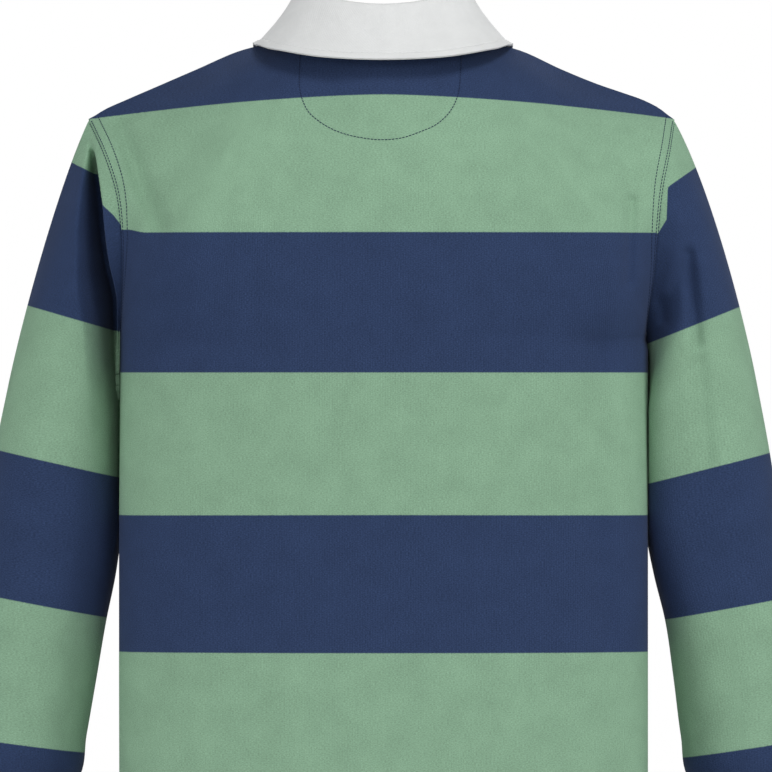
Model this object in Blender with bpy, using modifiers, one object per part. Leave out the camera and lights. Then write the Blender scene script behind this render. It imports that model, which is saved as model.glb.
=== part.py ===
"""Long-sleeved polo shirt, hollow, in the shape it has when it is filled out.

Metres, +Z up. The origin is the centre of the neck opening at its base. The front faces -Y and the
wearer's left is +X. Each piece of cloth is a wall: a grid of outer points worked out from sizes, and
inner points one wall thickness behind them.
"""

import math

import bmesh
import bpy
import numpy as np
from mathutils import Vector

# walls and seams
WALL = 0.0016
COLLAR_WALL = 0.0012
CUFF_WALL = 0.0018
SEAM = 0.0003
SHARP_ANGLE = math.radians(50)
# how far the cloth turns a hollow corner at a seam, as the cosine between the two sides, from where
# they share one direction to where each keeps its own
HOLLOW = {"start": 0.1, "full": 0.6}

# body
HEM_Z = -0.71
UNDERARM_Z = -0.243
CHEST_HALF = 0.2190
RIDGE_Y = -0.005
LOWER_ROWS = 9
UPPER_ROWS = 14
CHEST_SWELL = 0.045
CHEST_RISE = 1.9
TOP_RISE = {"middle": 0.35, "side": 0.14}
ARMHOLE_REACH = 0.30
FOLD_FADE = 0.06
INWARD_PULL = {"back": (1.5, 1.75, 1.5), "front": (1.25, 1.35, 1.35)}
BACK_POWER = 2.4
FRONT_POWER = 2.2

# neckline
NECK_HALF = 0.070
NECK_SIDE_Z = 0.008
NECK_BACK_Y = 0.060
NECK_BACK_Z = -0.006
NECK_FRONT_Y = -0.080
NECK_FRONT_Z = -0.062
NECK_DIP = 1.3
NECK_MIDDLE_Y = -0.010
NECK_CELLS = 6
SHOULDER_CELLS = 7
NECK_CHEST_X = 0.104
NECK_SPREAD = 0.12

# placket and buttons
SLIT_HALF = 0.003
PLACKET_HALF = 0.017
PLACKET_WALL = 0.0014
SLIT_ROWS = 12
BUTTON_RADIUS = 0.0058
BUTTON_HEIGHT = 0.0026
BUTTON_CLEAR = 0.00025
BUTTON_SIDES = 20
BUTTON_DROPS = (0.020, 0.068, 0.116)
PLACKET_TRIM = {"foot": 0.45, "top": 0.25}

# collar
STAND_ROWS = 2
ROLL_RADIUS = 0.0035
ROLL_CELLS = 3
ROLL_LIFT = 0.001
ROLL_TURN = 0.92 * math.pi
LEAF_LEAVE = {"out": 0.35, "down": 0.9}
LEAF_FLARE = 0.15
FALL_CELLS = 5
LEAF_CLEAR = 0.0032
REST_TURNS = 3

# sleeves and cuffs
CAP_ROWS = (0.04, 0.09, 0.14, 0.18, 0.22, 0.27, 0.33, 0.40, 0.48, 0.58, 0.76)
SLEEVE_POWER = 2.15
RING_LOOK = 0.02
# the sleeves stay this far out beside the body's sides, from this far back
BESIDE = {"x": 0.2212, "from_y": -0.028}
CUFF_RIBS = 30
RIB_DEPTH = 0.0009
CUFF_LENGTH = 0.072
CUFF_ROWS = 2
CUFF_WAIST = 0.06
WAIST_TURN = 0.7 * math.pi

# facing inside the back neck
FACING_WALL = 0.001
FACING_GAP = 0.0006
FACING_COLUMNS = 5
FACING_ROWS = 4
FACING_TOP_Z = -0.012
FACING_SIDE_Z = -0.040
FACING_LOW_Z = -0.078
FACING_POWER = 2.2

LEFT = 1
RIGHT = -1


def table(columns, *rows):
    """A short table as a dictionary of named columns."""
    return dict(zip(columns.split(), np.array(rows, float).T))


BODY = table(
    "z half back front",
    (-0.710, 0.2195, 0.108, -0.112),
    (-0.560, 0.2200, 0.103, -0.113),
    (-0.400, 0.2200, 0.104, -0.117),
    (UNDERARM_Z, CHEST_HALF, 0.112, -0.121),
)

SHOULDER = {
    LEFT: table(
        "x z",
        (0.0700, 0.0080),
        (0.1200, -0.0021),
        (0.1546, -0.0170),
        (0.1853, -0.0303),
        (0.2160, -0.0436),
        (0.2320, -0.0508),
        (0.2450, -0.0590),
    ),
    RIGHT: table(
        "x z",
        (0.0700, 0.0080),
        (0.1160, -0.0022),
        (0.1480, -0.0170),
        (0.1807, -0.0303),
        (0.2003, -0.0370),
        (0.2185, -0.0436),
        (0.2310, -0.0502),
        (0.2425, -0.0595),
    ),
}

# armhole seams, from the underarm (rise 0) to the shoulder tip (rise 1)
ARMHOLE = {
    ("back", LEFT): table(
        "rise x y z",
        (0.00, CHEST_HALF, 0.000, UNDERARM_Z),
        (0.14, 0.2178, 0.018, -0.2230),
        (0.32, 0.2160, 0.040, -0.1900),
        (0.52, 0.2165, 0.053, -0.1530),
        (0.70, 0.2212, 0.050, -0.1180),
        (0.86, 0.2325, 0.032, -0.0850),
        (1.00, 0.2450, RIDGE_Y, -0.0590),
    ),
    ("back", RIGHT): table(
        "rise x y z",
        (0.00, CHEST_HALF, 0.000, UNDERARM_Z),
        (0.14, 0.2205, 0.018, -0.2230),
        (0.32, 0.2245, 0.037, -0.1900),
        (0.52, 0.2275, 0.050, -0.1530),
        (0.70, 0.2315, 0.048, -0.1170),
        (0.86, 0.2380, 0.030, -0.0850),
        (1.00, 0.2425, RIDGE_Y, -0.0595),
    ),
    ("front", LEFT): table(
        "rise x y z",
        (0.00, CHEST_HALF, 0.000, UNDERARM_Z),
        (0.14, 0.2150, -0.026, -0.2270),
        (0.32, 0.2070, -0.055, -0.1970),
        (0.52, 0.2020, -0.072, -0.1580),
        (0.70, 0.2080, -0.068, -0.1190),
        (0.86, 0.2260, -0.043, -0.0850),
        (1.00, 0.2450, RIDGE_Y, -0.0590),
    ),
    ("front", RIGHT): table(
        "rise x y z",
        (0.00, CHEST_HALF, 0.000, UNDERARM_Z),
        (0.14, 0.2150, -0.026, -0.2270),
        (0.32, 0.2070, -0.055, -0.1970),
        (0.52, 0.2020, -0.072, -0.1580),
        (0.70, 0.2080, -0.068, -0.1190),
        (0.86, 0.2250, -0.043, -0.0850),
        (1.00, 0.2425, RIDGE_Y, -0.0595),
    ),
}

# rings round each sleeve below its cap: the places of its inner and outer edges, how far forward its
# middle lies, half its depth, how its ring tilts, in degrees, and how full its corner beside the
# body's back is
SLEEVE_RINGS = {
    LEFT: table(
        "z inner outer middle_y half_depth tilt corner",
        (-0.290, 0.2172, 0.3125, -0.030, 0.066, 14.0, 2.15),
        (-0.340, 0.2172, 0.3225, -0.034, 0.064, 14.0, 2.15),
        (-0.385, 0.2182, 0.3295, -0.037, 0.062, 13.5, 2.15),
        (-0.425, 0.2232, 0.3355, -0.038, 0.060, 13.0, 2.15),
        (-0.465, 0.2311, 0.3400, -0.039, 0.058, 12.0, 2.15),
        (-0.515, 0.2394, 0.3475, -0.040, 0.055, 10.5, 2.15),
        (-0.565, 0.2478, 0.3515, -0.042, 0.051, 9.0, 2.15),
        (-0.602, 0.2545, 0.3495, -0.044, 0.047, 8.5, 2.15),
        (-0.625, 0.2722, 0.3377, -0.045, 0.0336, 8.0, 2.15),
    ),
    RIGHT: table(
        "z inner outer middle_y half_depth tilt corner",
        (-0.290, 0.2172, 0.3118, -0.030, 0.066, 16.0, 4.5),
        (-0.340, 0.2172, 0.3212, -0.034, 0.064, 15.5, 4.5),
        (-0.385, 0.2190, 0.3287, -0.036, 0.062, 15.0, 4.2),
        (-0.425, 0.2262, 0.3350, -0.037, 0.060, 14.0, 3.6),
        (-0.465, 0.2357, 0.3405, -0.038, 0.058, 13.0, 3.0),
        (-0.515, 0.2428, 0.3475, -0.040, 0.055, 11.5, 2.6),
        (-0.565, 0.2490, 0.3515, -0.042, 0.051, 10.0, 2.3),
        (-0.602, 0.2555, 0.3500, -0.044, 0.047, 9.0, 2.15),
        (-0.625, 0.2732, 0.3387, -0.045, 0.0336, 8.5, 2.15),
    ),
}

# how the cloth leaves the armhole seam, by the angle round it in degrees: 0 is the shoulder tip,
# 90 the back, 180 the underarm and 270 the front
CAP_START = table(
    "angle x y z length",
    (0, 0.37, 0.00, -0.93, 0.17),
    (45, 0.62, 0.00, -0.78, 0.15),
    (90, 0.88, -0.10, -0.46, 0.13),
    (135, 0.86, -0.12, -0.50, 0.07),
    (180, 0.30, -0.48, -0.82, 0.035),
    (225, 0.80, 0.12, -0.58, 0.07),
    (270, 0.86, 0.25, -0.45, 0.13),
    (315, 0.62, 0.10, -0.78, 0.15),
    (360, 0.37, 0.00, -0.93, 0.17),
)
# how much further out than that the cloth leaves each shoulder tip
TIP_PUSH = {LEFT: 0.012, RIGHT: 0.026}

# the deep fold beside each back armhole, by the angle round it: where the strip of sleeve next to
# the seam ends and where the fold has risen again, as shares of the cap, and the fold's depth
FOLD = {
    LEFT: table(
        "angle edge outer depth",
        (15, 0.10, 0.22, 0.000),
        (45, 0.12, 0.44, 0.006),
        (75, 0.13, 0.60, 0.012),
        (100, 0.13, 0.70, 0.017),
        (125, 0.13, 0.76, 0.018),
        (150, 0.14, 0.84, 0.011),
        (172, 0.14, 0.90, 0.000),
    ),
    RIGHT: table(
        "angle edge outer depth",
        (15, 0.10, 0.30, 0.000),
        (45, 0.12, 0.40, 0.004),
        (75, 0.14, 0.55, 0.008),
        (100, 0.14, 0.60, 0.010),
        (125, 0.14, 0.65, 0.009),
        (150, 0.14, 0.75, 0.005),
        (172, 0.14, 0.90, 0.000),
    ),
}
FOLD_FLOOR = 0.38

# soft folds of the back: from one place to another, with a half width and a height
BACK_FOLDS = table(
    "x0 z0 x1 z1 half height",
    (0.220, -0.075, 0.178, -0.170, 0.011, -0.0045),
    (0.206, -0.090, 0.196, -0.175, 0.008, 0.0035),
    (-0.205, -0.110, -0.206, -0.215, 0.010, -0.0035),
    (-0.182, -0.235, -0.165, -0.335, 0.018, -0.0040),
    (-0.165, -0.335, -0.182, -0.430, 0.018, -0.0040),
    (-0.182, -0.430, -0.207, -0.600, 0.016, -0.0040),
    (0.196, -0.250, 0.202, -0.330, 0.010, -0.0020),
)

# edge of the collar's leaf, round from the front point to the middle of the back: how far round
# (degrees from the front), and its place
LEAF_EDGE = table(
    "angle x y z",
    (0, 0.0050, -0.0915, -0.0360),
    (12, 0.0300, -0.1130, -0.0700),
    (25, 0.0500, -0.1220, -0.0930),
    (45, 0.0790, -0.0980, -0.0680),
    (70, 0.0990, -0.0540, -0.0270),
    (95, 0.1075, -0.0050, 0.0012),
    (120, 0.0930, 0.0480, -0.0010),
    (150, 0.0520, 0.0790, -0.0080),
    (180, 0.0000, 0.0870, -0.0105),
)

# fold line of the collar, round from the front to the middle of the back
FOLD_LINE = table(
    "angle x y z",
    (0, 0.0035, -0.0840, -0.0330),
    (12, 0.0170, -0.0830, -0.0270),
    (25, 0.0330, -0.0760, -0.0110),
    (45, 0.0520, -0.0560, 0.0150),
    (70, 0.0650, -0.0250, 0.0380),
    (95, 0.0665, 0.0040, 0.0470),
    (120, 0.0570, 0.0310, 0.0430),
    (150, 0.0320, 0.0505, 0.0345),
    (180, 0.0000, 0.0570, 0.0313),
)

# half the cut through a button, as shares of its radius and height
BUTTON_PROFILE = table(
    "radius height",
    (0.00, 0.62),
    (0.62, 0.62),
    (0.74, 1.00),
    (0.94, 0.92),
    (1.00, 0.50),
    (0.86, 0.00),
    (0.00, 0.00),
)

COLOURS = {
    "jersey": ((0.030, 0.048, 0.110), 0.9),
    "green": ((0.230, 0.370, 0.250), 0.9),
    "white": ((0.80, 0.80, 0.79), 0.85),
    "button": ((0.72, 0.71, 0.67), 0.35),
}


def through(columns, key, name, at):
    """A smooth curve through one column of a table, read at the given values of its key column."""
    knots, values = columns[key], columns[name]
    order = np.argsort(knots)
    knots, values = knots[order], values[order]
    slopes = np.gradient(values, knots)
    at = np.clip(at, knots[0], knots[-1])
    cell = np.clip(np.searchsorted(knots, at) - 1, 0, len(knots) - 2)
    width = knots[cell + 1] - knots[cell]
    t = (at - knots[cell]) / width
    return (
        (2 * t**3 - 3 * t**2 + 1) * values[cell]
        + (t**3 - 2 * t**2 + t) * width * slopes[cell]
        + (3 * t**2 - 2 * t**3) * values[cell + 1]
        + (t**3 - t**2) * width * slopes[cell + 1]
    )


def place(columns, key, at):
    """The point of a table with x, y and z columns, read at the given values of its key column."""
    return np.stack([through(columns, key, axis, at) for axis in "xyz"], axis=-1)


def hermite(start, end, leave, arrive, t):
    """Points between two ends with given directions; t is the share of the way."""
    return (
        (2 * t**3 - 3 * t**2 + 1) * start
        + (t**3 - 2 * t**2 + t) * leave
        + (3 * t**2 - 2 * t**3) * end
        + (t**3 - t**2) * arrive
    )


def ease(t):
    t = np.clip(t, 0.0, 1.0)
    return t * t * (3 - 2 * t)


def unit(v):
    return v / np.maximum(np.linalg.norm(v, axis=-1, keepdims=True), 1e-12)


def columns_of(face):
    """The columns of one half of a panel: place on the neckline, place on the chest, and share of
    the shoulder seam, from the middle out to the armhole."""
    neck_top = NECK_HALF * np.sin(np.linspace(0, math.pi / 2, NECK_CELLS + 1))
    neck_chest = NECK_CHEST_X * np.linspace(0, 1, NECK_CELLS + 1)
    if face == "front":
        straight = np.array([0.0, SLIT_HALF, PLACKET_HALF])
        neck_top = np.concatenate([straight, neck_top[2:]])
        neck_chest = np.concatenate([straight, neck_chest[2:]])
    start = math.degrees(math.asin((NECK_CHEST_X / CHEST_HALF) ** (BACK_POWER / 2)))
    angles = np.radians(np.linspace(start, 90, SHOULDER_CELLS + 1)[1:])
    shoulder_chest = CHEST_HALF * np.sin(angles) ** (2 / BACK_POWER)
    shares = np.linspace(0, 1, SHOULDER_CELLS + 1)[1:]
    chest = np.concatenate([neck_chest, shoulder_chest]) / CHEST_HALF
    top = np.concatenate([neck_top, np.full(SHOULDER_CELLS, NECK_HALF)])
    share = np.concatenate([np.zeros(len(neck_top)), shares])
    return chest, top, share


def body_point(face, side, chest, z):
    """A point of the body below the armholes; chest is the share of the half width, 0 to 1."""
    power = BACK_POWER if face == "back" else FRONT_POWER
    half = through(BODY, "z", "half", z)
    depth = through(BODY, "z", face, z)
    y = depth * np.maximum(1 - chest**power, 0.0) ** (1 / power)
    return np.stack(np.broadcast_arrays(side * half * chest, y, z), axis=-1)


def top_point(face, side, top, share):
    """A point of the panel's top edge, on the neckline or on the shoulder seam."""
    across = np.sqrt(np.maximum(1 - (top / NECK_HALF) ** 2, 0.0))
    low_y = NECK_BACK_Y if face == "back" else NECK_FRONT_Y
    low_z = NECK_BACK_Z if face == "back" else NECK_FRONT_Z
    neck = np.stack(
        [top, RIDGE_Y + (low_y - RIDGE_Y) * across, NECK_SIDE_Z + (low_z - NECK_SIDE_Z) * across**NECK_DIP],
        axis=-1,
    )
    seam = SHOULDER[side]
    x = NECK_HALF + (seam["x"][-1] - NECK_HALF) * share
    ridge = np.stack([x, np.full_like(x, RIDGE_Y), through(seam, "x", "z", x)], axis=-1)
    point = np.where((share > 0)[..., None], ridge, neck)
    return point * np.array([side, 1.0, 1.0])


def back_folds(points):
    """How far the soft folds move each point of the back."""
    x, z = points[..., 0], points[..., 2]
    total = np.zeros_like(x)
    for x0, z0, x1, z1, half, height in zip(*BACK_FOLDS.values()):
        run = np.array([x1 - x0, z1 - z0])
        share = np.clip(((x - x0) * run[0] + (z - z0) * run[1]) / (run @ run), 0, 1)
        away = np.hypot(x - x0 - share * run[0], z - z0 - share * run[1])
        total += height * np.exp(-((away / half) ** 2))
    return total


def half_panel(face, side, chest, top, share):
    """The outer points of one half of a panel, rows from the hem up, columns from the middle out."""
    low_z = np.linspace(HEM_Z, UNDERARM_Z, LOWER_ROWS + 1)
    lower = body_point(face, side, chest[None, :], low_z[:, None])
    start = lower[-1]
    end = top_point(face, side, top, share)
    rise = np.linspace(0, 1, UPPER_ROWS + 1)[1:, None, None]
    out = 1.0 if face == "back" else -1.0
    height = end[:, 2:] - start[:, 2:]
    depth = end[:, 1:2] - start[:, 1:2]
    near = ((top / NECK_HALF) ** 4)[:, None]
    away = share[:, None]
    zero = np.zeros_like(height)
    swell = out * CHEST_SWELL * (1 - chest[:, None] ** 4)
    leave = np.concatenate([zero, swell, CHEST_RISE * height], axis=1)
    middle_pull, neck_pull, tip_pull = INWARD_PULL[face]
    inward = middle_pull + (neck_pull - middle_pull) * near + (tip_pull - neck_pull) * ease(2 * away)
    upward = (TOP_RISE["middle"] + (TOP_RISE["side"] - TOP_RISE["middle"]) * near) * (1 - away) ** 2
    spread = -side * NECK_SPREAD * near**2 * (1 - away) ** 2
    arrive = np.concatenate([spread, inward * depth, upward * height], axis=1)
    upper = hermite(start, end, leave, arrive, rise)
    seam = place(ARMHOLE[face, side], "rise", rise[:, 0, 0]) * np.array([side, 1.0, 1.0])
    pull = ease((chest - ARMHOLE_REACH) / (1 - ARMHOLE_REACH))[None, :, None]
    upper = upper + pull * (seam[:, None] - upper[:, -1:])
    points = np.concatenate([lower, upper])
    if face == "back":
        points[..., 1] += back_folds(points) * ease((1 - chest) / FOLD_FADE)
    return points


def panel(face):
    """Both halves of a panel: rows from the hem up, columns from -X to +X."""
    chest, top, share = columns_of(face)
    right = half_panel(face, RIGHT, chest, top, share)
    left = half_panel(face, LEFT, chest, top, share)
    points = np.concatenate([right[:, :0:-1], left], axis=1)
    return points if face == "back" else points[:, ::-1]


def grid_normals(points, closed=False):
    """Unit normals of a grid, from the differences between its rows and between its columns."""
    if closed:
        along = np.roll(points, -1, axis=1) - np.roll(points, 1, axis=1)
    else:
        along = np.gradient(points, axis=1)
    up = np.gradient(points, axis=0)
    return unit(np.cross(along, up))


def recede(points, row=None, column=None):
    """Moves one edge of a grid back by half a seam's gap, toward the next row or column."""
    if row is not None:
        inward = 1 if row == 0 else row - 1
        points[row] += unit(points[inward] - points[row]) * SEAM / 2
    else:
        inward = 1 if column == 0 else column - 1
        points[:, column] += unit(points[:, inward] - points[:, column]) * SEAM / 2


def sleeve_ring(side, z, angle):
    """Outer points of one ring of a sleeve below its cap."""
    rings = SLEEVE_RINGS[side]
    inner, outer = through(rings, "z", "inner", z), through(rings, "z", "outer", z)
    tilt = np.radians(through(rings, "z", "tilt", z))
    half = (outer - inner) / 2
    middle = (outer + inner) / 2
    inner_back = (angle > math.pi / 2) & (angle < math.pi)
    power = np.where(inner_back, through(rings, "z", "corner", z), SLEEVE_POWER)
    across = np.sign(np.cos(angle)) * np.abs(np.cos(angle)) ** (2 / power)
    deep = np.sign(np.sin(angle)) * np.abs(np.sin(angle)) ** (2 / power)
    x = middle + half * across
    y = through(rings, "z", "middle_y", z) + through(rings, "z", "half_depth", z) * deep
    x = np.where(inner_back & (y > BESIDE["from_y"]), np.maximum(x, BESIDE["x"]), x)
    return np.stack([x, y, z + half * across * np.tan(tilt)], axis=-1)


def fold_depth(side, angle, share):
    """How far the deep fold beside the armhole sets the sleeve forward, by angle and cap share."""
    fold = FOLD[side]
    edge, outer = through(fold, "angle", "edge", angle), through(fold, "angle", "outer", angle)
    depth = through(fold, "angle", "depth", angle)
    way = (share - edge) / (outer - edge)
    return depth * ease(way / FOLD_FLOOR) * (1 - ease((way - FOLD_FLOOR) / (1 - FOLD_FLOOR)))


def sleeve_points(side):
    """Outer points of a sleeve: rings from the armhole down, columns round from the shoulder tip."""
    count = 2 * UPPER_ROWS
    angle = np.arange(count) * 2 * math.pi / count
    rise = np.abs(1 - angle / math.pi)
    back = place(ARMHOLE["back", side], "rise", rise)
    front = place(ARMHOLE["front", side], "rise", rise)
    seam = np.where((angle <= math.pi)[:, None], back, front)
    start = place(CAP_START, "angle", np.degrees(angle))
    length = through(CAP_START, "angle", "length", np.degrees(angle))[:, None]
    stations = SLEEVE_RINGS[side]["z"]
    first = sleeve_ring(side, stations[0], angle)
    second = sleeve_ring(side, stations[0] - RING_LOOK, angle)
    arrive = unit(second - first) * length
    leave = unit(start) * length
    leave[:, 0] += TIP_PUSH[side] * np.maximum(np.cos(angle), 0) ** 2
    rings = [seam]
    for share in CAP_ROWS:
        ring = hermite(seam, first, leave, arrive, share)
        ring[:, 1] -= fold_depth(side, np.degrees(angle), share)
        rings.append(ring)
    rings += [sleeve_ring(side, z, angle) for z in stations]
    return np.array(rings) * np.array([side, 1.0, 1.0])


def cloth(name, outer, normals, wall, material, closed=False, holes=(), inner=None):
    """One closed wall of cloth from a grid of outer points, and either their normals or the inner
    points. Holes are cells left out, as (row, column)."""
    rows, count = outer.shape[:2]
    if inner is None:
        inner = outer - normals * wall
    points = np.concatenate([outer.reshape(-1, 3), inner.reshape(-1, 3)])
    turned = np.sum(grid_normals(outer, closed) * (outer - inner)) < 0
    behind = rows * count
    across = count if closed else count - 1
    sheet = []
    for i in range(rows - 1):
        for j in range(across):
            if (i, j) in holes:
                continue
            k = (j + 1) % count
            quad = (i * count + j, i * count + k, (i + 1) * count + k, (i + 1) * count + j)
            sheet.append(quad[::-1] if turned else quad)
    sides = {}
    for quad in sheet:
        for a, b in zip(quad, quad[1:] + quad[:1]):
            sides[a, b] = quad
    faces = list(sheet)
    faces += [tuple(v + behind for v in reversed(quad)) for quad in sheet]
    faces += [(b, a, a + behind, b + behind) for a, b in sides if (b, a) not in sides]
    used = sorted({v for face in faces for v in face})
    number = {v: i for i, v in enumerate(used)}
    mesh = bpy.data.meshes.new(name)
    mesh.from_pydata(
        [tuple(points[v]) for v in used], [], [tuple(number[v] for v in face) for face in faces]
    )
    mesh.update()
    mesh.shade_smooth()
    mesh.set_sharp_from_angle(angle=SHARP_ANGLE)
    return add(name, mesh, material)


def add(name, mesh, material):
    """Puts a mesh in the shirt's collection under the given name and material."""
    obj = bpy.data.objects.new(name, mesh)
    mesh.materials.append(paint(name, material))
    bpy.data.collections["polo_shirt"].objects.link(obj)
    return obj


def paint(name, look):
    """The object's own material, in one of the shirt's looks."""
    colour, roughness = COLOURS[look]
    material = bpy.data.materials.new(name)
    material.use_nodes = True
    shader = material.node_tree.nodes["Principled BSDF"]
    shader.inputs["Base Color"].default_value = (*colour, 1.0)
    shader.inputs["Roughness"].default_value = roughness
    return material


def share_normals(own, other, turned=None):
    """One set of normals for both sides of a seam. Where the cloth turns a hollow corner, each side
    keeps its own; turned says how far, 0 to 1."""
    both = unit(own + other)
    if turned is None:
        return both, both
    turned = turned[:, None]
    return unit(both * (1 - turned) + own * turned), unit(both * (1 - turned) + other * turned)


def build_body_and_sleeves():
    """Both panels and both sleeves, whose seams share their points and normals."""
    back, front = panel("back"), panel("front")
    sleeves = {side: sleeve_points(side) for side in (LEFT, RIGHT)}
    back_n, front_n = -grid_normals(back), -grid_normals(front)
    sleeve_n = {}
    for side, points in sleeves.items():
        sleeve_n[side] = -side * grid_normals(points, closed=True)

    chest = LOWER_ROWS
    # side seams below the armholes, the back's first column against the front's last and so on
    for b, f in ((0, -1), (-1, 0)):
        both, _ = share_normals(back_n[:chest + 1, b], front_n[:chest + 1, f])
        back_n[:chest + 1, b] = front_n[:chest + 1, f] = both
    # shoulder seams
    for b, f in ((slice(0, SHOULDER_CELLS + 1), slice(None, -SHOULDER_CELLS - 2, -1)),
                 (slice(-SHOULDER_CELLS - 1, None), slice(SHOULDER_CELLS, None, -1))):
        both, _ = share_normals(back_n[-1, b], front_n[-1, f])
        back_n[-1, b] = front_n[-1, f] = both

    for side in (LEFT, RIGHT):
        b, f = (-1, 0) if side == LEFT else (0, -1)
        ring = np.concatenate([back_n[chest:, b][::-1], front_n[chest + 1:-1, f]])
        points, own = sleeves[side], sleeve_n[side]
        away = unit(points[1] - points[0])
        turn = np.sum(away * ring, axis=1)
        hollow = ease((turn - HOLLOW["start"]) / (HOLLOW["full"] - HOLLOW["start"]))
        body_side, sleeve_side = share_normals(ring, own[0], hollow)
        own[0] = sleeve_side
        back_n[chest + 1:, b] = body_side[:UPPER_ROWS][::-1]
        front_n[chest + 1:-1, f] = body_side[UPPER_ROWS + 1:]
        front_n[-1, f] = body_side[0]
    return back, front, sleeves, back_n, front_n, sleeve_n


def build_cuff(side):
    """A ribbed band: crests and valleys raised in its outer points over a plain inside."""
    rings = SLEEVE_RINGS[side]
    count = 4 * CUFF_RIBS
    angle = np.arange(count) * 2 * math.pi / count
    low = sleeve_ring(side, rings["z"][-1], angle)
    middle = np.array([
        (rings["inner"][-1] + rings["outer"][-1]) / 2, rings["middle_y"][-1], rings["z"][-1],
    ])
    tilt = math.radians(rings["tilt"][-1])
    down = np.array([math.sin(tilt), 0.0, -math.cos(tilt)])
    raised = np.where(np.arange(count) % 4 < 2, RIB_DEPTH, 0.0)[:, None]
    outer, inner = [], []
    for row in range(CUFF_ROWS + 1):
        share = row / CUFF_ROWS
        narrow = 1 - CUFF_WAIST * math.sin(WAIST_TURN * share)
        spoke = (low - middle) * narrow
        centre = middle + down * (SEAM + CUFF_LENGTH * share)
        outer.append(centre + spoke + unit(spoke) * raised)
        inner.append(centre + spoke - unit(spoke) * CUFF_WALL)
    mirror = np.array([side, 1.0, 1.0])
    outer, inner = np.array(outer) * mirror, np.array(inner) * mirror
    name = "cuff_left" if side == LEFT else "cuff_right"
    cloth(name, outer, None, 0, "jersey", closed=True, inner=inner)


def neckline(back, front):
    """The body's neckline, round from the front's slit at -X over the back to the slit at +X."""
    middle = front.shape[1] // 2
    neck = NECK_CELLS + 1
    right = front[-1, middle + 1: middle + neck + 1]
    left = front[-1, middle - neck: middle]
    centre = back.shape[1] // 2
    behind = back[-1, centre - NECK_CELLS + 1: centre + NECK_CELLS]
    return np.concatenate([right, behind, left])


def round_angle(points):
    """How far round the neck each point lies, in degrees from the front."""
    return np.degrees(np.arctan2(np.abs(points[:, 0]), NECK_MIDDLE_Y - points[:, 1]))


def collar_lines(base):
    """The fold line and the leaf's edge above each point of the neckline."""
    side = np.where(np.arange(len(base)) < len(base) / 2, -1.0, 1.0)[:, None]
    side = np.concatenate([side, np.ones_like(side), np.ones_like(side)], axis=1)
    angle = round_angle(base)
    angle = angle - angle[0] * (1 - angle / 180)
    return place(FOLD_LINE, "angle", angle) * side, place(LEAF_EDGE, "angle", angle) * side


def rest_on(points, panels, clear):
    """Moves points out until they lie at least this far outside the nearest panel."""
    spots, outs = [], []
    for grid, normals in panels:
        for value, found in ((grid, spots), (normals, outs)):
            half = (value[1:] + value[:-1]) / 2
            for rows in (value, half):
                found.append(rows.reshape(-1, 3))
                found.append(((rows[:, 1:] + rows[:, :-1]) / 2).reshape(-1, 3))
    spots, outs = np.concatenate(spots), np.concatenate(outs)
    flat = points.reshape(-1, 3)
    for _ in range(REST_TURNS):
        nearest = np.array([np.argmin(((spots - point) ** 2).sum(axis=1)) for point in flat])
        height = np.sum((flat - spots[nearest]) * outs[nearest], axis=1, keepdims=True)
        flat = flat + outs[nearest] * np.maximum(clear - height, 0)
    return flat.reshape(points.shape)


def build_collar(back, front, normals):
    """The stand from the neckline up to the fold, and the leaf over it and down to its edge."""
    base = neckline(back, front) + np.array([0.0, 0.0, SEAM])
    fold, edge = collar_lines(base)
    shares = np.linspace(0, 1, STAND_ROWS + 1)[:, None, None]
    stand = base + (fold - base) * shares
    outward = grid_normals(stand)
    if outward[0, len(base) // 2, 1] < 0:
        outward = -outward
    cloth("collar_stand", stand, outward, COLLAR_WALL, "white")

    flat = outward[-1].copy()
    flat[:, 2] = 0.0
    flat = unit(flat)
    up = unit(fold - base)
    start = fold - flat * COLLAR_WALL + up * SEAM
    centre = start + flat * ROLL_RADIUS + up * ROLL_LIFT
    rows = [start]
    for step in range(ROLL_CELLS + 1):
        turn = ROLL_TURN * step / ROLL_CELLS
        rows.append(centre - flat * ROLL_RADIUS * math.cos(turn) + up * ROLL_RADIUS * math.sin(turn))
    top = rows[-1]
    span = np.linalg.norm(edge - top, axis=1, keepdims=True)
    leave = (flat * LEAF_LEAVE["out"] - up * LEAF_LEAVE["down"]) * span
    arrive = (unit(edge - top) + flat * LEAF_FLARE) * span
    for step in range(1, FALL_CELLS + 1):
        rows.append(hermite(top, edge, leave, arrive, step / FALL_CELLS))
    leaf = np.array(rows)
    panels = ((back, normals[0]), (front, normals[1]))
    leaf[ROLL_CELLS + 2:] = rest_on(leaf[ROLL_CELLS + 2:], panels, COLLAR_WALL + LEAF_CLEAR)
    outward = grid_normals(leaf)
    if outward[-2, len(base) // 2, 1] < 0:
        outward = -outward
    cloth("collar_leaf", leaf, outward, COLLAR_WALL, "white")


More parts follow.
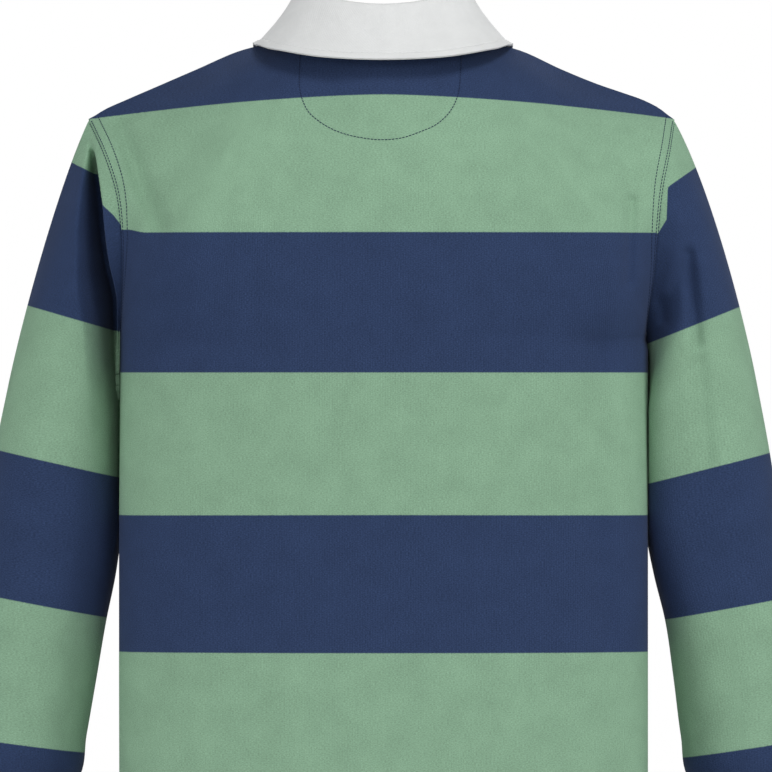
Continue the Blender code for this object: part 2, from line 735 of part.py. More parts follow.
def build_placket(front, normals):
    """The over strip outside the slit and the under strip inside it, from the front's own points."""
    middle = front.shape[1] // 2
    low = front.shape[0] - 1 - SLIT_ROWS - 1
    points = front[low:, middle - 2: middle + 3].copy()
    out = normals[low:, middle - 2: middle + 3]
    points[-1] += (points[-2] - points[-1]) * PLACKET_TRIM["top"]
    points[0] += (points[1] - points[0]) * PLACKET_TRIM["foot"]
    cloth("placket_over", points + out * (SEAM + PLACKET_WALL), out, PLACKET_WALL, "white")
    cloth("placket_under", points - out * (WALL + SEAM), out, PLACKET_WALL, "white")
    centre, along = points[:, 2] + out[:, 2] * (2 * SEAM + PLACKET_WALL), out[:, 2]
    length = np.concatenate([[0.0], np.cumsum(np.linalg.norm(np.diff(centre, axis=0), axis=1))])
    for number, drop in enumerate(BUTTON_DROPS, 1):
        row = np.searchsorted(length, length[-1] - drop) - 1
        part = (length[-1] - drop - length[row]) / (length[row + 1] - length[row])
        spot = centre[row] * (1 - part) + centre[row + 1] * part
        slope = unit(np.cross([1.0, 0.0, 0.0], centre[row + 1] - centre[row]))
        if slope @ along[row] < 0:
            slope = -slope
        build_button(f"button_{number}", spot + slope * BUTTON_CLEAR, slope)


def build_button(name, spot, out):
    """A turned button with a raised rim."""
    mesh = bpy.data.meshes.new(name)
    shape = bmesh.new()
    profile = zip(BUTTON_PROFILE["radius"] * BUTTON_RADIUS, BUTTON_PROFILE["height"] * BUTTON_HEIGHT)
    line = [shape.verts.new((x, 0.0, z)) for x, z in profile]
    for a, b in zip(line, line[1:]):
        shape.edges.new((a, b))
    shape.to_mesh(mesh)
    shape.free()
    obj = add(name, mesh, "button")
    obj.location = Vector(spot)
    obj.rotation_mode = "QUATERNION"
    obj.rotation_quaternion = Vector((0, 0, 1)).rotation_difference(Vector(out))
    screw = obj.modifiers.new("turn", "SCREW")
    screw.steps = screw.render_steps = BUTTON_SIDES
    screw.use_merge_vertices = True
    screw.merge_threshold = 1e-5
    screw.use_normal_calculate = True


def build_facing(back, normals):
    """The half moon inside the back neck, from the back panel's own points."""
    centre = back.shape[1] // 2
    inside = back - normals * (WALL + FACING_GAP)
    columns = range(centre - FACING_COLUMNS, centre + FACING_COLUMNS + 1)
    grid = []
    for column in columns:
        line = inside[LOWER_ROWS:, column]
        share = abs(column - centre) / FACING_COLUMNS
        low = FACING_SIDE_Z + (FACING_LOW_Z - FACING_SIDE_Z) * math.sqrt(1 - share**FACING_POWER)
        heights = np.linspace(low, FACING_TOP_Z, FACING_ROWS + 1)
        grid.append([[np.interp(z, line[:, 2], line[:, axis]) for axis in range(3)] for z in heights])
    points = np.array(grid).transpose(1, 0, 2)
    cloth("half_moon", points, -grid_normals(points), FACING_WALL, "jersey")


def build():
    for obj in list(bpy.data.objects):
        bpy.data.objects.remove(obj)
    bpy.context.scene.collection.children.link(bpy.data.collections.new("polo_shirt"))

    back, front, sleeves, back_n, front_n, sleeve_n = build_body_and_sleeves()
    build_collar(back, front, (back_n, front_n))
    build_placket(front, front_n)
    build_facing(back, back_n)
    for side in (LEFT, RIGHT):
        build_cuff(side)

    recede(back, column=0)
    recede(back, column=back.shape[1] - 1)
    recede(back, row=back.shape[0] - 1)
    recede(front, column=0)
    recede(front, column=front.shape[1] - 1)
    recede(front, row=front.shape[0] - 1)
    for points in sleeves.values():
        recede(points, row=0)
    middle = front.shape[1] // 2
    top = front.shape[0] - 1
    slit = {(row, column) for row in range(top - SLIT_ROWS, top) for column in (middle - 1, middle)}
    cloth("back", back, back_n, WALL, "green")
    cloth("front", front, front_n, WALL, "green", holes=slit)
    for side, name in ((LEFT, "sleeve_left"), (RIGHT, "sleeve_right")):
        cloth(name, sleeves[side], sleeve_n[side], WALL, "jersey", closed=True)


build()
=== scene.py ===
"""Long-sleeved polo shirt, seen from behind: fine cloth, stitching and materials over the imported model.

The cloth pieces repeat the model's own sizes and curves with smaller cells, and add its folds, seams
and threads. Metres, +Z up; the front faces -Y and the wearer's left is +X.
"""

import math

import bpy
import numpy as np
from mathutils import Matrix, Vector
from mathutils.bvhtree import BVHTree


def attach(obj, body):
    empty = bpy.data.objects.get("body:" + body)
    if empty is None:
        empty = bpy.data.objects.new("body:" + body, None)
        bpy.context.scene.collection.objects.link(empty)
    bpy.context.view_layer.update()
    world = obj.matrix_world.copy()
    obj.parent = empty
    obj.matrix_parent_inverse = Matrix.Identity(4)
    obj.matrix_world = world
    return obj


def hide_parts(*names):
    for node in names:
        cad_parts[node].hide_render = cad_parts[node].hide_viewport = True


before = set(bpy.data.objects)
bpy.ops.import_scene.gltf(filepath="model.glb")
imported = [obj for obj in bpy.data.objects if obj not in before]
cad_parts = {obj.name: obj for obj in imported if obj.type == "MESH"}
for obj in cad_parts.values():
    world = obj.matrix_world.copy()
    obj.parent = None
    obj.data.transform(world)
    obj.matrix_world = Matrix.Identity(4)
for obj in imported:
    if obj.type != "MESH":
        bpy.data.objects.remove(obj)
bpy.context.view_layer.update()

# cells for each one of the model's, and the cloth's walls
FINE = 5
WALL = 0.0016
COLLAR_WALL = 0.0012
CUFF_WALL = 0.0018
SEAM = 0.0003
SHARP_ANGLE = math.radians(60)

# the two panels
HEM_Z = -0.71
UNDERARM_Z = -0.243
CHEST_HALF = 0.2190
RIDGE_Y = -0.005
LOWER_ROWS = 60
UPPER_ROWS = 84
CHEST_SWELL = 0.045
CHEST_RISE = 1.9
TOP_RISE = {"middle": 0.35, "less": 0.21}
ARMHOLE_REACH = 0.30
INWARD_PULL = {"back": (1.5, 1.75, 1.5), "front": (1.25, 1.35, 1.35)}
POWER = {"back": 2.4, "front": 2.2}
SMOOTH = {"reach": 1.6 * FINE, "fade": 0.10, "turns": 40, "share": 0.6}

# the right side stands out to the sleeve beside it, from this share of the chest on
SIDE = {"half": 0.2209, "start": 0.90, "reach": 0.10, "step": 0.008}

NECK_HALF = 0.070
NECK_SIDE_Z = 0.008
NECK_LOW = {"back": (0.060, -0.006), "front": (-0.080, -0.062)}
NECK_DIP = 1.3
NECK_MIDDLE_Y = -0.010
NECK_CELLS = 6 * FINE
SHOULDER_CELLS = 7 * FINE
NECK_CHEST_X = 0.104
NECK_SPREAD = 0.12

PLACKET_HALF = 0.017
PLACKET_WALL = 0.0014
PLACKET_LENGTH = 0.152
PLACKET_TOP = 0.002
PLACKET_ROWS = 60
PLACKET_COLUMNS = 17
PLACKET_GROOVE = {"inset": 0.0022, "half": 0.0007, "depth": 0.0004}
PLACKET_THREAD = 0.0002

STAND_ROWS = 8
ROLL_RADIUS = 0.0035
ROLL_CELLS = 8
ROLL_LIFT = 0.001
ROLL_TURN = 0.92 * math.pi
LEAF_LEAVE = {"out": 0.35, "down": 0.9}
LEAF_FLARE = 0.15
FALL_CELLS = 84
LEAF_CLEAR = 0.0032
REST_TURNS = 3
# the leaf's stitched band stands up along its edge, with a groove inside it
BAND = {"inset": 0.0078, "turn": 0.0008, "height": 0.0006}
BAND_GROOVE = {"inside": 0.0010, "half": 0.0008, "depth": 0.0010}

CAP_ROWS = 124
CAP_CROWDING = 1.5
RING_STEP = 0.005
RING_LOOK = 0.02
SLEEVE_POWER = 2.15
BESIDE = {"x": 0.2212, "from_y": -0.028}
CUFF_RIBS = 44
RIB_CELLS = 6
RIB_DEPTH = 0.0009
CUFF_LENGTH = 0.072
CUFF_ROWS = 18
CUFF_WAIST = 0.06
WAIST_TURN = 0.7 * math.pi
FOLD_FLOOR = 0.38
FOLD_EDGE = 0.08
FOLD_BACK = 2.5

# the cord along each armhole, the grooves of the rows beside it, and the stitches
CORD_HALF = 0.0009
CORD_HEIGHT = 0.0006
GROOVE = {"half": 0.0008, "share": 0.5}
ROW_APART = 0.0014
ROUGH_OUT = {"back": (0.0, 1.0, 0.4), "front": (0.0, -1.0, 0.4), "placket": (0.0, -1.0, 0.3)}
BODY_ROW = 0.0080
UNDERARM_GAP = 3
SEAM_ROWS = 60
ARC_SPOTS = 120
ARC_START_Y = 0.3
HEM_ROWS = (0.018, 0.024)
THREAD = 0.00040
THREAD_SIDES = 6
STITCH = 0.0029
STITCH_SHARE = 0.90

LEFT = 1
RIGHT = -1
SIDES = {LEFT: "left", RIGHT: "right"}


def table(columns, *rows):
    """A short table as a dictionary of named columns."""
    return dict(zip(columns.split(), np.array(rows, float).T))


def tables(columns, groups):
    """Several tables with the same columns."""
    return {key: table(columns, *rows) for key, rows in groups.items()}


# one stitch's rings, in half stitches along it and thread widths up and across
STITCH_RINGS = table(
    "along up size",
    (-1.0, -0.90, 0.50),
    (-0.6, 0.10, 0.95),
    (0.0, 0.45, 1.00),
    (0.6, 0.10, 0.95),
    (1.0, -0.90, 0.50),
)

BODY = table(
    "z half back front",
    (-0.710, 0.2195, 0.108, -0.112),
    (-0.560, 0.2200, 0.103, -0.113),
    (-0.400, 0.2200, 0.104, -0.117),
    (UNDERARM_Z, CHEST_HALF, 0.112, -0.121),
)

# shoulder seams from the neck's corner out, and armholes by their rise from the underarm
SHOULDER = tables("x z", {
    LEFT: (
        (0.0700, 0.0080), (0.1200, -0.0021), (0.1546, -0.0170), (0.1853, -0.0303),
        (0.2160, -0.0436), (0.2320, -0.0508), (0.2450, -0.0590),
    ),
    RIGHT: (
        (0.0700, 0.0080), (0.1160, -0.0022), (0.1480, -0.0170), (0.1807, -0.0303),
        (0.2003, -0.0370), (0.2185, -0.0436), (0.2310, -0.0502), (0.2425, -0.0595),
    ),
})

FRONT_ARMHOLE = (
    (0.00, CHEST_HALF, 0.000, UNDERARM_Z),
    (0.14, 0.2150, -0.026, -0.2270),
    (0.32, 0.2070, -0.055, -0.1970),
    (0.52, 0.2020, -0.072, -0.1580),
    (0.70, 0.2080, -0.068, -0.1190),
)
ARMHOLE = tables("rise x y z", {
    ("back", LEFT): (
        (0.00, CHEST_HALF, 0.000, UNDERARM_Z),
        (0.14, 0.2178, 0.018, -0.2230),
        (0.32, 0.2160, 0.040, -0.1900),
        (0.52, 0.2165, 0.053, -0.1530),
        (0.70, 0.2212, 0.050, -0.1180),
        (0.86, 0.2325, 0.032, -0.0850),
        (1.00, 0.2450, RIDGE_Y, -0.0590),
    ),
    ("back", RIGHT): (
        (0.00, CHEST_HALF, 0.000, UNDERARM_Z),
        (0.14, 0.2205, 0.018, -0.2230),
        (0.32, 0.2245, 0.037, -0.1900),
        (0.52, 0.2275, 0.050, -0.1530),
        (0.70, 0.2315, 0.048, -0.1170),
        (0.86, 0.2380, 0.030, -0.0850),
        (1.00, 0.2425, RIDGE_Y, -0.0595),
    ),
    ("front", LEFT): (
        *FRONT_ARMHOLE,
        (0.86, 0.2260, -0.043, -0.0850),
        (1.00, 0.2450, RIDGE_Y, -0.0590),
    ),
    ("front", RIGHT): (
        *FRONT_ARMHOLE,
        (0.86, 0.2250, -0.043, -0.0850),
        (1.00, 0.2425, RIDGE_Y, -0.0595),
    ),
})

SLEEVE_RINGS = tables("z inner outer middle_y half_depth tilt corner", {
    LEFT: (
        (-0.290, 0.2172, 0.3125, -0.030, 0.066, 14.0, 2.15),
        (-0.340, 0.2172, 0.3225, -0.034, 0.064, 14.0, 2.15),
        (-0.385, 0.2182, 0.3295, -0.037, 0.062, 13.5, 2.15),
        (-0.425, 0.2232, 0.3355, -0.038, 0.060, 13.0, 2.15),
        (-0.465, 0.2311, 0.3400, -0.039, 0.058, 12.0, 2.15),
        (-0.515, 0.2394, 0.3475, -0.040, 0.055, 10.5, 2.15),
        (-0.565, 0.2478, 0.3515, -0.042, 0.051, 9.0, 2.15),
        (-0.602, 0.2545, 0.3495, -0.044, 0.047, 8.5, 2.15),
        (-0.625, 0.2722, 0.3377, -0.045, 0.0336, 8.0, 2.15),
    ),
    RIGHT: (
        (-0.290, 0.2172, 0.3118, -0.030, 0.066, 16.0, 4.5),
        (-0.340, 0.2172, 0.3212, -0.034, 0.064, 15.5, 4.5),
        (-0.385, 0.2190, 0.3287, -0.036, 0.062, 15.0, 4.2),
        (-0.425, 0.2262, 0.3350, -0.037, 0.060, 14.0, 3.6),
        (-0.465, 0.2357, 0.3405, -0.038, 0.058, 13.0, 3.0),
        (-0.515, 0.2428, 0.3475, -0.040, 0.055, 11.5, 2.6),
        (-0.565, 0.2490, 0.3515, -0.042, 0.051, 10.0, 2.3),
        (-0.602, 0.2555, 0.3500, -0.044, 0.047, 9.0, 2.15),
        (-0.625, 0.2732, 0.3387, -0.045, 0.0336, 8.5, 2.15),
    ),
})

# the way each line of a sleeve leaves the armhole, by angle round from the shoulder's tip, and its pull
CAP_START = table(
    "angle x y z length",
    (0, 0.37, 0.00, -0.93, 0.17),
    (45, 0.62, 0.00, -0.78, 0.15),
    (90, 0.88, -0.10, -0.46, 0.13),
    (135, 0.86, -0.12, -0.50, 0.07),
    (180, 0.30, -0.48, -0.82, 0.035),
    (225, 0.80, 0.12, -0.58, 0.07),
    (270, 0.86, 0.25, -0.45, 0.13),
    (315, 0.62, 0.10, -0.78, 0.15),
    (360, 0.37, 0.00, -0.93, 0.17),
)
TIP_PUSH = {LEFT: 0.012, RIGHT: 0.026}

# the right sleeve's shallow fold behind the shoulder, in shares of the cap
FOLD = table(
    "angle edge outer depth",
    (15, 0.10, 0.30, 0.000),
    (45, 0.12, 0.40, 0.0012),
    (75, 0.14, 0.55, 0.0024),
    (100, 0.14, 0.60, 0.0030),
    (125, 0.14, 0.65, 0.0027),
    (150, 0.14, 0.75, 0.0015),
    (172, 0.14, 0.90, 0.000),
)

# the deep fold at the left armhole, by height: where the strip beside the seam turns under, where
# the sleeve has come out again, and how deep it lies between
DEEP_FOLD = table(
    "z edge out depth",
    (-0.062, 0.2456, 0.2466, 0.000),
    (-0.070, 0.2443, 0.2472, 0.016),
    (-0.085, 0.2400, 0.2485, 0.034),
    (-0.107, 0.2363, 0.2510, 0.043),
    (-0.130, 0.2332, 0.2535, 0.050),
    (-0.148, 0.2316, 0.2555, 0.053),
    (-0.177, 0.2278, 0.2560, 0.055),
    (-0.207, 0.2216, 0.2535, 0.052),
    (-0.235, 0.2206, 0.2495, 0.045),
    (-0.265, 0.2191, 0.2470, 0.032),
    (-0.290, 0.2172, 0.2455, 0.020),
    (-0.330, 0.2172, 0.2430, 0.012),
    (-0.380, 0.2175, 0.2420, 0.008),
    (-0.425, 0.2232, 0.2420, 0.000),
)
DEEP_TURN = 0.0026
DEEP_FLOOR = 0.0010
DEEP_FALL = 1.4
DEEP_NARROW = 0.004
DEEP_ANGLES = {"start": 8, "rise": 22, "end": 150, "fall": 25}
OVERHANG = 0.0060
UNDER_REACH = 1.6

# soft folds: from one place to another as seen from behind or before, half width and height
FOLDS = tables("x0 z0 x1 z1 half height", {
    "back": (
        (0.2200, -0.066, 0.1850, -0.148, 0.0080, -0.0105),
        (-0.2230, -0.078, -0.2175, -0.110, 0.0050, -0.0020),
        (-0.2060, -0.128, -0.2040, -0.195, 0.0045, -0.0062),
        (-0.1510, -0.120, -0.1560, -0.155, 0.0090, -0.0022),
        (-0.178, -0.255, -0.172, -0.400, 0.018, -0.0090),
        (-0.180, -0.430, -0.200, -0.600, 0.016, -0.0060),
        (0.196, -0.250, 0.202, -0.330, 0.010, -0.0020),
    ),
    "front": (
        (0.196, -0.120, 0.172, -0.205, 0.011, -0.0030),
        (-0.196, -0.115, -0.168, -0.200, 0.012, -0.0032),
        (0.150, -0.240, 0.168, -0.420, 0.020, -0.0030),
        (-0.176, -0.300, -0.158, -0.520, 0.022, -0.0034),
        (0.070, -0.560, 0.084, -0.700, 0.016, -0.0020),
    ),
    "sleeve_right": (
        (-0.2475, -0.079, -0.2525, -0.101, 0.0040, -0.0024),
        (-0.2540, -0.172, -0.2605, -0.245, 0.0060, -0.0050),
        (-0.2640, -0.265, -0.2700, -0.345, 0.0090, -0.0032),
        (-0.2315, -0.211, -0.2335, -0.226, 0.0050, -0.0036),
    ),
})

# stripe edges down the body at its middle, and how far each bows down toward the sides
BODY_LINES = table(
    "z bow",
    (-0.0398, 0.0190),
    (-0.1540, 0.0000),
    (-0.2702, 0.0000),
    (-0.3882, 0.0008),
    (-0.5025, 0.0000),
    (-0.6210, 0.0000),
)
BOW_REACH = 0.243
BOW_POWER = 1.57
# the second edge rises a little at the left side
LEFT_LIFT = {"x": 0.1965, "reach": 0.016, "height": 0.0026}
# a stripe's height beyond the first and last edges, where the count never reaches the next one
STRIPE = 0.12
WITHIN = 0.98

# a sleeve's first stripe edge, from the armhole outward, as it runs behind and before
FIRST_LINE = tables("x z", {
    ("back", LEFT): (
        (0.2040, -0.1610), (0.2146, -0.1516), (0.2236, -0.1399), (0.2327, -0.1315),
        (0.2344, -0.1245), (0.2371, -0.1066), (0.2465, -0.1018), (0.2765, -0.0868),
    ),
    ("back", RIGHT): (
        (0.2200, -0.1650), (0.2293, -0.1535), (0.2356, -0.1433), (0.2366, -0.1175),
        (0.2372, -0.1160), (0.2590, -0.1008), (0.2890, -0.0800),
    ),
    ("front", LEFT): (
        (0.1900, -0.1560), (0.2150, -0.1480), (0.2465, -0.1018), (0.2765, -0.0868)
    ),
    ("front", RIGHT): (
        (0.1900, -0.1560), (0.2150, -0.1480), (0.2590, -0.1008), (0.2890, -0.0800)
    ),
})
# the edges below it: height at a place across the sleeve, and rise toward its outer side
SLEEVE_LINES = tables("x z rise", {
    LEFT: (
        (0.2598, -0.2249, 0.290),
        (0.2764, -0.3450, 0.225),
        (0.2764, -0.4660, 0.190),
        (0.2764, -0.5840, 0.130),
    ),
    RIGHT: (
        (0.2549, -0.2324, 0.400),
        (0.2757, -0.3490, 0.250),
        (0.2757, -0.4690, 0.180),
        (0.2757, -0.5880, 0.150),
    ),
})

# the collar leaf's edge and its fold by the angle round the neck, a little past the back's middle
LEAF_EDGE = table(
    "angle x y z",
    (0, 0.0050, -0.0915, -0.0360),
    (12, 0.0300, -0.1130, -0.0700),
    (25, 0.0500, -0.1220, -0.0930),
    (45, 0.0790, -0.0980, -0.0680),
    (70, 0.0990, -0.0540, -0.0270),
    (95, 0.1075, -0.0050, 0.0012),
    (120, 0.0930, 0.0480, -0.0010),
    (150, 0.0520, 0.0790, -0.0080),
    (180, 0.0000, 0.0870, -0.0105),
    (210, -0.0520, 0.0790, -0.0080),
)

FOLD_LINE = table(
    "angle x y z",
    (0, 0.0035, -0.0840, -0.0330),
    (12, 0.0170, -0.0830, -0.0270),
    (25, 0.0330, -0.0760, -0.0110),
    (45, 0.0520, -0.0560, 0.0150),
    (70, 0.0650, -0.0250, 0.0380),
    (95, 0.0665, 0.0040, 0.0470),
    (120, 0.0570, 0.0310, 0.0430),
    (150, 0.0320, 0.0505, 0.0345),
    (180, 0.0000, 0.0570, 0.0313),
    (210, -0.0320, 0.0505, 0.0345),
)

# the half moon's row of stitches on the back, from side to side
ARC = table(
    "x z",
    (0.0685, 0.0000), (0.0695, -0.0210), (0.0676, -0.0417), (0.0616, -0.0544), (0.0535, -0.0618),
    (0.0357, -0.0714), (0.0190, -0.0757), (0.0001, -0.0776), (-0.0162, -0.0759), (-0.0295, -0.0714),
    (-0.0443, -0.0647), (-0.0547, -0.0551), (-0.0614, -0.0425), (-0.0645, -0.0210),
    (-0.0650, 0.0000),
)

NAVY = (0.0265, 0.0460, 0.1080)
GREEN = (0.2290, 0.3790, 0.2570)
WHITE = (0.715, 0.725, 0.720)
THREAD_NAVY = (0.017, 0.028, 0.066)
RESIN = (0.72, 0.71, 0.67)
PAPER = (0.85, 0.85, 0.85)
STUDIO = (0.97, 0.98, 1.0)
STUDIO_STRENGTH = 0.27

# knit and weave: cells of noise and bands in a metre, and how far they change a colour or an edge
SPECULAR = 0.12
SHEEN_ROUGHNESS = 0.45
WAVE = {"Distortion": 0.6, "Detail Scale": 0.5}
NOISE_RANGE = (0.3, 0.7)
STREAKS = (620.0, 1500.0, 1.0)
HEATHER = {GREEN: 0.40, NAVY: 0.62}
CLOUD = {"cells": 34.0, "shades": (0.93, 1.07)}
STRIPE_EDGE = {"cells": 900.0, "wander": 0.0015, "soft": 0.012}
WALES = 150.0
TWILL_LINES = 260.0

# softboxes, all turned to one point
LAMPS = table(
    "x y z size power",
    (-0.9, 1.7, 2.4, 1.0, 40.0),
    (2.7, 1.5, 0.2, 1.2, 30.0),
    (-2.7, 1.5, 0.4, 1.2, 33.0),
    (0.3, 3.6, 0.1, 2.2, 20.0),
    (0.0, -3.2, 1.4, 1.8, 46.0),
)
LAMP_AIM = (0.0, 0.0, -0.28)
FLOOR = {"vertices": 96, "radius": 4.0, "depth": 0.02, "location": (0, 0, -1.46)}

# the photo's frame is this wide at the back's depth, seen from far behind
FRAME_WIDTH = 0.6408
FRAME_MIDDLE = (-0.0025, 0.06, -0.2814)
CAMERA_FAR = 14.0
SENSOR = 36.0


def through(columns, key, name, at):
    """A smooth curve through one column of a table, read at the given values of its key column."""
    knots, values = columns[key], columns[name]
    order = np.argsort(knots)
    knots, values = knots[order], values[order]
    slopes = np.gradient(values, knots)
    at = np.clip(at, knots[0], knots[-1])
    cell = np.clip(np.searchsorted(knots, at) - 1, 0, len(knots) - 2)
    width = knots[cell + 1] - knots[cell]
    t = (at - knots[cell]) / width
    return (
        (2 * t**3 - 3 * t**2 + 1) * values[cell]
        + (t**3 - 2 * t**2 + t) * width * slopes[cell]
        + (3 * t**2 - 2 * t**3) * values[cell + 1]
        + (t**3 - t**2) * width * slopes[cell + 1]
    )


def read(columns, key, names, at):
    """Several columns of a table, read at the same values of its key column."""
    return [through(columns, key, name, at) for name in names.split()]


def place(columns, key, at):
    return np.stack(read(columns, key, "x y z", at), axis=-1)


def hermite(start, end, leave, arrive, t):
    return (
        (2 * t**3 - 3 * t**2 + 1) * start
        + (t**3 - 2 * t**2 + t) * leave
        + (3 * t**2 - 2 * t**3) * end
        + (t**3 - t**2) * arrive
    )


def ease(t):
    t = np.clip(t, 0.0, 1.0)
    return t * t * (3 - 2 * t)


def bell(away, half):
    return np.exp(-((away / half) ** 2))


def unit(v):
    return v / np.maximum(np.linalg.norm(v, axis=-1, keepdims=True), 1e-12)


def mirrored(side):
    return np.array([side, 1.0, 1.0])


def grid_normals(points, closed=False):
    if closed:
        along = np.roll(points, -1, axis=1) - np.roll(points, 1, axis=1)
    else:
        along = np.gradient(points, axis=1)
    return unit(np.cross(along, np.gradient(points, axis=0)))


def lengths(line):
    """Distance along a line of points, from its start to each of them."""
    return np.concatenate([[0.0], np.cumsum(np.linalg.norm(np.diff(line, axis=0), axis=1))])


def from_stroke(x, z, x0, z0, x1, z1):
    """How far each point lies from a straight stroke, as seen from behind."""
    run = np.array([x1 - x0, z1 - z0])
    share = np.clip(((x - x0) * run[0] + (z - z0) * run[1]) / (run @ run), 0, 1)
    return np.hypot(x - x0 - share * run[0], z - z0 - share * run[1])


def soft_folds(x, z, folds):
    """How far the soft folds move each point out."""
    total = np.zeros_like(x)
    for x0, z0, x1, z1, half, height in zip(*folds.values()):
        total += height * bell(from_stroke(x, z, x0, z0, x1, z1), half)
    return total


def columns_of(face):
    """The columns of half a panel: place on the neckline, place on the chest, share of the shoulder."""
    neck_top = NECK_HALF * np.sin(np.linspace(0, math.pi / 2, NECK_CELLS + 1))
    neck_chest = NECK_CHEST_X * np.linspace(0, 1, NECK_CELLS + 1)
    start = math.degrees(math.asin((NECK_CHEST_X / CHEST_HALF) ** (POWER["back"] / 2)))
    angles = np.radians(np.linspace(start, 90, SHOULDER_CELLS + 1)[1:])
    shoulder_chest = CHEST_HALF * np.sin(angles) ** (2 / POWER["back"])
    shares = np.linspace(0, 1, SHOULDER_CELLS + 1)[1:]
    chest = np.concatenate([neck_chest, shoulder_chest]) / CHEST_HALF
    top = np.concatenate([neck_top, np.full(SHOULDER_CELLS, NECK_HALF)])
    share = np.concatenate([np.zeros(len(neck_top)), shares])
    return chest, top, share


def body_point(face, side, chest, z):
    power = POWER[face]
    half = through(BODY, "z", "half", z)
    depth = through(BODY, "z", face, z)
    y = depth * np.maximum(1 - chest**power, 0.0) ** (1 / power)
    return np.stack(np.broadcast_arrays(side * half * chest, y, z), axis=-1)


def top_point(face, side, top, share):
    across = np.sqrt(np.maximum(1 - (top / NECK_HALF) ** 2, 0.0))
    low_y, low_z = NECK_LOW[face]
    neck = np.stack(
        [top, RIDGE_Y + (low_y - RIDGE_Y) * across, NECK_SIDE_Z + (low_z - NECK_SIDE_Z) * across**NECK_DIP],
        axis=-1,
    )
    seam = SHOULDER[side]
    x = NECK_HALF + (seam["x"][-1] - NECK_HALF) * share
    ridge = np.stack([x, np.full_like(x, RIDGE_Y), through(seam, "x", "z", x)], axis=-1)
    return np.where((share > 0)[..., None], ridge, neck) * mirrored(side)


def smoothed(points):
    """Evens out the line that runs down from the neck's corner, below the seam itself."""
    columns = np.arange(points.shape[1])
    near = bell(columns - NECK_CELLS, SMOOTH["reach"])
    rows = np.arange(points.shape[0]) / (points.shape[0] - 1)
    weight = (near[None, :] * ease((1 - rows[:, None]) / SMOOTH["fade"]))[:, 1:-1, None]
    for _ in range(SMOOTH["turns"]):
        between = (points[:, 2:] + points[:, :-2]) / 2
        points[:, 1:-1] += SMOOTH["share"] * weight * (between - points[:, 1:-1])
    return points


def half_panel(face, side, chest, top, share):
    """Half a panel from the hem up: straight rows to the underarm, then curves to the shoulder."""
    low_z = np.linspace(HEM_Z, UNDERARM_Z, LOWER_ROWS + 1)
    lower = body_point(face, side, chest[None, :], low_z[:, None])
    start = lower[-1]
    end = top_point(face, side, top, share)
    rise = np.linspace(0, 1, UPPER_ROWS + 1)[1:, None, None]
    out = 1.0 if face == "back" else -1.0
    height = end[:, 2:] - start[:, 2:]
    depth = end[:, 1:2] - start[:, 1:2]
    near = ((top / NECK_HALF) ** 4)[:, None]
    away = share[:, None]
    swell = out * CHEST_SWELL * (1 - chest[:, None] ** 4)
    leave = np.concatenate([np.zeros_like(height), swell, CHEST_RISE * height], axis=1)
    middle_pull, neck_pull, tip_pull = INWARD_PULL[face]
    inward = middle_pull + (neck_pull - middle_pull) * near + (tip_pull - neck_pull) * ease(2 * away)
    upward = (TOP_RISE["middle"] - TOP_RISE["less"] * near) * (1 - away) ** 2
    spread = -side * NECK_SPREAD * near**2 * (1 - away) ** 2
    arrive = np.concatenate([spread, inward * depth, upward * height], axis=1)
    upper = hermite(start, end, leave, arrive, rise)
    seam = place(ARMHOLE[face, side], "rise", rise[:, 0, 0]) * mirrored(side)
    pull = ease((chest - ARMHOLE_REACH) / (1 - ARMHOLE_REACH))[None, :, None]
    upper = upper + pull * (seam[:, None] - upper[:, -1:])
    points = smoothed(np.concatenate([lower, upper]))
    moved = soft_folds(points[..., 0], points[..., 2], FOLDS[face])
    points[..., 1] += out * moved * ease((1 - share) / FOLD_EDGE)
    if side == RIGHT:
        z = points[..., 2]
        wider = SIDE["half"] - through(BODY, "z", "half", z)
        wider = wider * ease((chest - SIDE["start"]) / SIDE["reach"])
        points[..., 0] -= wider * ease((UNDERARM_Z - z) / SIDE["step"])
    return points


def panel(face):
    """Both halves of a panel: rows from the hem up; the back's columns run from -X, the front's
    from +X."""
    chest, top, share = columns_of(face)
    right = half_panel(face, RIGHT, chest, top, share)
    left = half_panel(face, LEFT, chest, top, share)
    points = np.concatenate([right[:, :0:-1], left], axis=1)
    return points if face == "back" else points[:, ::-1]


def sleeve_ring(side, z, angle):
    """Points of a sleeve's ring, round from its outer side over the back; it may be squarer where it
    lies beside the body."""
    names = "inner outer middle_y half_depth tilt corner"
    inner, outer, middle_y, half_depth, tilt, corner = read(SLEEVE_RINGS[side], "z", names, z)
    half = (outer - inner) / 2
    middle = (outer + inner) / 2
    inner_back = (angle > math.pi / 2) & (angle < math.pi)
    power = np.where(inner_back, corner, SLEEVE_POWER)
    across = np.sign(np.cos(angle)) * np.abs(np.cos(angle)) ** (2 / power)
    deep = np.sign(np.sin(angle)) * np.abs(np.sin(angle)) ** (2 / power)
    x = middle + half * across
    y = middle_y + half_depth * deep
    x = np.where(inner_back & (y > BESIDE["from_y"]), np.maximum(x, BESIDE["x"]), x)
    return np.stack([x, y, z + half * across * np.tan(np.radians(tilt))], axis=-1)


def soft_fold(angle, share):
    """The right sleeve's shallow fold, by angle and cap share."""
    edge, outer, depth = read(FOLD, "angle", "edge outer depth", angle)
    way = (share - edge) / (outer - edge)
    return depth * ease(way / FOLD_FLOOR) * (1 - ease((way - FOLD_FLOOR) / (1 - FOLD_FLOOR)))


